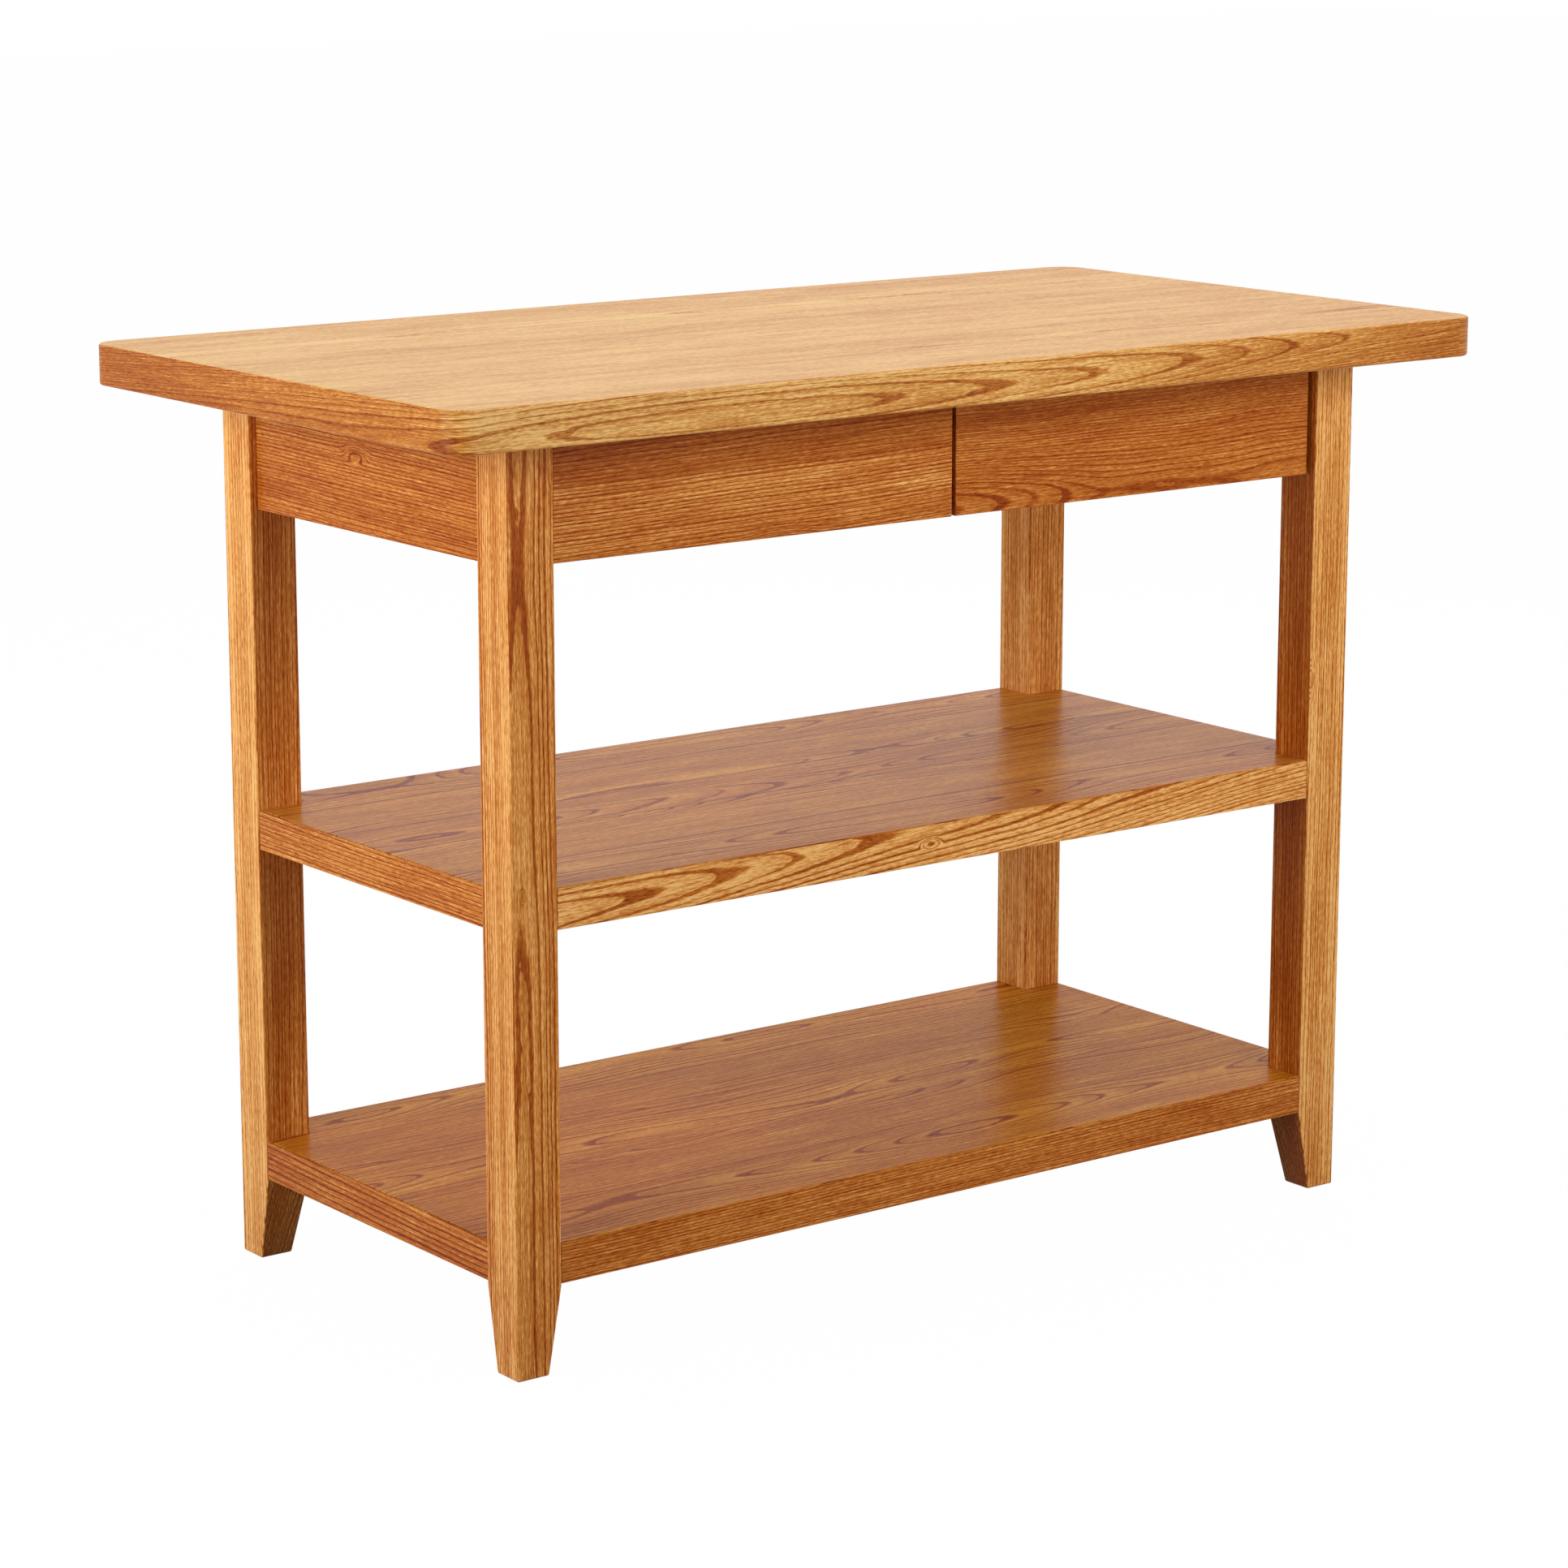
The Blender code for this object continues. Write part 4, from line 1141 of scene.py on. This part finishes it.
@dataclass(frozen=True)
class ScrewHeads:
    """Pan heads with a cross recess, set on points by Geometry Nodes."""

    radius: float = 3.6 * MM
    height: float = 1.5 * MM
    recess: float = 1.0 * MM
    rim_share: float = 0.68
    sides: int = 20

    def tree(self, finish: bpy.types.Material) -> tuple[bpy.types.NodeTree, dict[str, float]]:
        """Builds the tree that sets a head on each point, turned to where the point faces.

        Args:
            finish: the steel of the heads.

        Returns:
            The tree, and the value of each input by the socket's identifier.
        """
        tree = bpy.data.node_groups.new("screw_heads", "GeometryNodeTree")
        sockets = tree.interface
        sockets.new_socket("Points", in_out="INPUT", socket_type="NodeSocketGeometry")
        sizes = {"Head radius": self.radius, "Head height": self.height, "Recess width": self.recess}
        values = {}
        for name, value in sizes.items():
            socket = sockets.new_socket(name, in_out="INPUT", socket_type="NodeSocketFloat")
            values[socket.identifier] = value
        sockets.new_socket("Heads", in_out="OUTPUT", socket_type="NodeSocketGeometry")

        add = partial(add_node, tree)
        points, radius, height, recess = add("NodeGroupInput").outputs[:4]
        rim = add(MATH, (radius, self.rim_share), operation="MULTIPLY")
        dome = add(
            "GeometryNodeMeshCone",
            {"Vertices": self.sides, "Radius Top": rim, "Radius Bottom": radius, "Depth": height},
        )
        arms = []
        for long_way, across in ((rim, recess), (recess, rim)):
            size = add(COMBINE, (long_way, across, height))
            arms.append(add("GeometryNodeMeshCube", {"Size": size}))
        joined = add("GeometryNodeJoinGeometry", {0: arms})
        place = add(COMBINE, {2: height})
        cross = add("GeometryNodeTransform", {"Geometry": joined, "Translation": place})
        head = add("GeometryNodeMeshBoolean", {"Mesh 1": dome, "Mesh 2": cross}, operation="DIFFERENCE")
        facing = add("GeometryNodeInputNamedAttribute", {"Name": FACING}, data_type="FLOAT_VECTOR")
        turn = add("FunctionNodeAlignRotationToVector", {"Vector": facing}, axis="Z")
        heads = add(
            "GeometryNodeInstanceOnPoints", {"Points": points, "Instance": head, "Rotation": turn}
        )
        real = add("GeometryNodeRealizeInstances", {"Geometry": heads})
        dressed = add("GeometryNodeSetMaterial", {"Geometry": real, "Material": finish})
        add("NodeGroupOutput", (dressed,))
        return tree, values

    def build(
        self, name: str, places: list[tuple[Vector, Vector]], body: str, finish: bpy.types.Material
    ) -> None:
        """Sets heads on their places, as one plain mesh that rides on a body.

        Args:
            name: the piece's name.
            places: where each head sits, and where it faces.
            body: the CAD body that carries them.
            finish: the steel of the heads.
        """
        mesh = bpy.data.meshes.new(name)
        mesh.from_pydata([place for place, facing in places], [], [])
        layer = mesh.attributes.new(FACING, "FLOAT_VECTOR", "POINT")
        for item, (place, facing) in zip(layer.data, places):
            item.vector = facing
        piece = bpy.data.objects.new(name, mesh)
        bpy.context.scene.collection.objects.link(piece)
        tree, values = self.tree(finish)
        modifier = piece.modifiers.new("screw_heads", "NODES")
        modifier.node_group = tree
        for identifier, value in values.items():
            modifier[identifier] = value
        bake_modifiers(piece)
        settle(piece, body, Slot.STEEL)


@dataclass
class Fixings:
    """Where screws hold the worktop, the shelves' braces and the drawers."""

    heads: ScrewHeads = ScrewHeads()
    bracket_gauge: float = 2.0 * MM
    bracket_spread: float = 10.0 * MM
    bracket_rise: float = 0.4
    flat_shift: float = 4.0 * MM
    rail_places: tuple[float, ...] = (-0.36, -0.12, 0.12, 0.36)
    brace_spread: float = 26.0 * MM
    brace_shift: float = 2.0 * MM
    slide_gauge: float = 1.2 * MM
    slide_margin: float = 40.0 * MM
    front_spread: float = 130.0 * MM
    front_rise: float = 4.0 * MM

    def on_brackets(self) -> list[tuple[Vector, Vector]]:
        """Two heads on each leg of the steel angles that hold the worktop."""
        places = []
        for name in ("left", "right", "back_left", "back_right"):
            low, high = corners(f"top_bracket_{name}")
            middle = (low + high) / 2
            wall = 1 if "back" in name else 0
            along = Vector((1, 0, 0)) if wall else Vector((0, 1, 0))
            inward = Vector((0, 0, 0))
            inward[wall] = -1.0 if middle[wall] > 0 else 1.0
            wall_face = (high if inward[wall] < 0 else low)[wall]
            for side in (-1, 1):
                offset = along * side * self.bracket_spread
                upright = middle + offset
                upright[wall] = wall_face + inward[wall] * self.bracket_gauge
                upright.z = low.z + (high.z - low.z) * self.bracket_rise
                places.append((upright, inward))
                flat = middle + offset + inward * self.flat_shift
                flat.z = high.z - self.bracket_gauge
                places.append((flat, Vector((0, 0, -1))))
        return places

    def under_frame(self) -> list[tuple[Vector, Vector]]:
        """Heads under the rail behind the drawer fronts and under the shelves' braces."""
        down = Vector((0, 0, -1))
        low, high = corners("front_top_rail")
        places = [(Vector((x, (low.y + high.y) / 2, low.z)), down) for x in self.rail_places]
        braces = [f"{shelf.name}_brace_{end}_{hand}" for shelf in SHELVES for end in ENDS for hand in HANDS]
        for brace in braces:
            low, high = corners(brace)
            middle = (low + high) / 2
            outward = Vector((math.copysign(1, middle.x), math.copysign(1, middle.y), 0)).normalized()
            along = Vector((-outward.y, outward.x, 0))
            for side in (-1, 1):
                place = middle + along * side * self.brace_spread - outward * self.brace_shift
                place.z = low.z
                places.append((place, down))
        return places

    def in_drawer(self, hand: str) -> list[tuple[Vector, Vector]]:
        """Heads in a drawer's runners and inside its box, where they hold the front."""
        places = []
        box_low, box_high = corners(f"{hand}_drawer_bottom")
        for runner in ("outer", "inner"):
            low, high = corners(f"{hand}_{runner}_slide_drawer")
            middle = (low + high) / 2
            towards = 1.0 if middle.x < (box_low.x + box_high.x) / 2 else -1.0
            web = (high.x if towards > 0 else low.x) - towards * self.slide_gauge
            for y in (low.y + self.slide_margin, middle.y, high.y - self.slide_margin):
                places.append((Vector((web, y, middle.z)), Vector((-towards, 0, 0))))
        low, high = corners(f"{hand}_drawer_box_front")
        middle = (low + high) / 2
        for side in (-1, 1):
            place = Vector((middle.x + side * self.front_spread, high.y, middle.z + self.front_rise))
            places.append((place, Vector((0, 1, 0))))
        return places

    def build(self, finish: bpy.types.Material) -> None:
        """Makes the screw heads, one mesh for each body."""
        self.heads.build("frame_screws", self.on_brackets() + self.under_frame(), ROOT_BODY, finish)
        for hand in HANDS:
            self.heads.build(f"{hand}_drawer_screws", self.in_drawer(hand), f"{hand}_drawer", finish)


@dataclass
class Studio:
    """Pale floor, white surroundings, soft lamps and the photograph's camera.

    Each lamp has its place, size and power. Those further back than glossy_until don't show in gloss.
    """

    lens: float = 103.989
    sensor: float = 36.0
    yaw: float = 37.044
    pitch: float = 12.184
    eye: tuple[float, float, float] = (-2.6257, -3.4510, 1.3777)
    sight: float = 100.0
    floor_half: float = 20.0
    floor_colour: str = "#75726E"
    floor_roughness: float = 0.9
    floor_white: float = 1.04
    floor_white_share: float = 0.95
    ambient: float = 0.04
    lamps: tuple[tuple[tuple[float, float, float], float, float], ...] = (
        ((-2.2, -0.1, 1.0), 1.4, 32.0),
        ((0.3, -2.3, 1.3), 1.6, 29.0),
        ((2.5, -2.6, 2.0), 2.0, 36.0),
        ((0.2, 0.3, 3.4), 2.6, 44.0),
        ((-1.6, 3.0, 1.5), 2.2, 34.0),
        ((2.4, 2.4, 1.8), 2.0, 36.0),
    )
    glossy_until: float = 1.0
    target: tuple[float, float, float] = (0.0, 0.0, 0.5)

    @staticmethod
    def seen(add: Callable[..., bpy.types.Node]) -> bpy.types.Node:
        """1 for rays that show the background: from the camera, off gloss or through glass."""
        rays = add("ShaderNodeLightPath").outputs
        gloss = add(MATH, (rays["Is Camera Ray"], rays["Is Glossy Ray"]), operation="MAXIMUM")
        return add(MATH, (gloss, rays["Is Transmission Ray"]), operation="MAXIMUM")

    def surroundings(self) -> None:
        """White to the camera, to gloss and to glass, and a plain soft level for everything else."""
        world = bpy.data.worlds.new("white_studio")
        bpy.context.scene.world = world
        add = emptied(world)
        strength = add(EASE, (self.seen(add), *WHOLE, self.ambient, 1.0))
        light = add("ShaderNodeBackground", {"Color": linear(WHITE), "Strength": strength})
        add("ShaderNodeOutputWorld", (light,))

    def floor(self) -> None:
        """A pale floor that shows white and keeps a soft shadow."""
        half = self.floor_half
        mesh = bpy.data.meshes.new("floor")
        plan = ((-half, -half), (half, -half), (half, half), (-half, half))
        mesh.from_pydata([(x, y, 0) for x, y in plan], [], [(0, 1, 2, 3)])
        floor = bpy.data.objects.new("floor", mesh)
        bpy.context.scene.collection.objects.link(floor)
        material = bpy.data.materials.new("pale_studio_floor")
        add = emptied(material)
        matt = add(
            PRINCIPLED, {"Base Color": linear(self.floor_colour), "Roughness": self.floor_roughness}
        )
        white = add("ShaderNodeEmission", {"Color": linear(WHITE), "Strength": self.floor_white})
        share = add(MATH, (self.seen(add), self.floor_white_share), operation="MULTIPLY")
        mixed = add("ShaderNodeMixShader", (share, matt, white))
        add(SURFACE, (mixed,))
        mesh.materials.append(material)

    def light(self) -> None:
        """Large soft lamps towards the middle of the island."""
        for index, (place, size, power) in enumerate(self.lamps):
            lamp = bpy.data.lights.new(f"soft_lamp_{index}", "AREA")
            lamp.energy = power
            lamp.size = size
            holder = bpy.data.objects.new(lamp.name, lamp)
            holder.location = place
            holder.visible_glossy = place[1] < self.glossy_until
            holder.visible_camera = False
            towards = Vector(self.target) - Vector(place)
            holder.rotation_euler = towards.to_track_quat("-Z", "Y").to_euler()
            bpy.context.scene.collection.objects.link(holder)

    def camera(self) -> None:
        """The camera at the photograph's place."""
        data = bpy.data.cameras.new("photo_camera")
        data.lens = self.lens
        data.sensor_width = self.sensor
        data.clip_end = self.sight
        camera = bpy.data.objects.new("photo_camera", data)
        camera.location = self.eye
        camera.rotation_euler = Euler((math.radians(90 - self.pitch), 0.0, math.radians(-self.yaw)))
        bpy.context.scene.collection.objects.link(camera)
        bpy.context.scene.camera = camera

    def build(self) -> None:
        """Sets up floor, light, surroundings and camera."""
        bpy.context.scene.view_settings.view_transform = "Standard"
        self.surroundings()
        self.floor()
        self.light()
        self.camera()


def dress_steel(finish: bpy.types.Material) -> None:
    """Gives the CAD nodes of sheet steel their finish."""
    for name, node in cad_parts.items():
        if "slide_" in name and "packer" not in name or "bracket" in name:
            node.data.materials.clear()
            node.data.materials.append(finish)
            LOG.info("%s keeps its CAD shape", name)


def main() -> None:
    logging.basicConfig(level=logging.INFO, format="%(message)s")
    ash = ASH.build()
    ash_top = ASH_TOP.build()
    ash_edge = ASH_EDGE.build()
    shelf_finishes = (ASH_SHELF.build(), ASH_LOW_SHELF.build())
    ash_rail = ASH_RAIL.build()
    inner = INNER_ASH.build()
    poplar = POPLAR.build()
    plywood = BIRCH_PLY.build()
    steel = ZincSteel().build()
    Studio().build()
    Worktop().build(ash_top, ash_edge)
    LegFrame().build(ash, inner)
    for shelf, finish in zip(SHELVES, shelf_finishes):
        shelf.build(finish, ash_rail, inner)
    for drawer in DRAWERS:
        drawer.build(ash, poplar, plywood)
    dress_steel(steel)
    Fixings().build(steel)


if __name__ == "__main__":
    main()
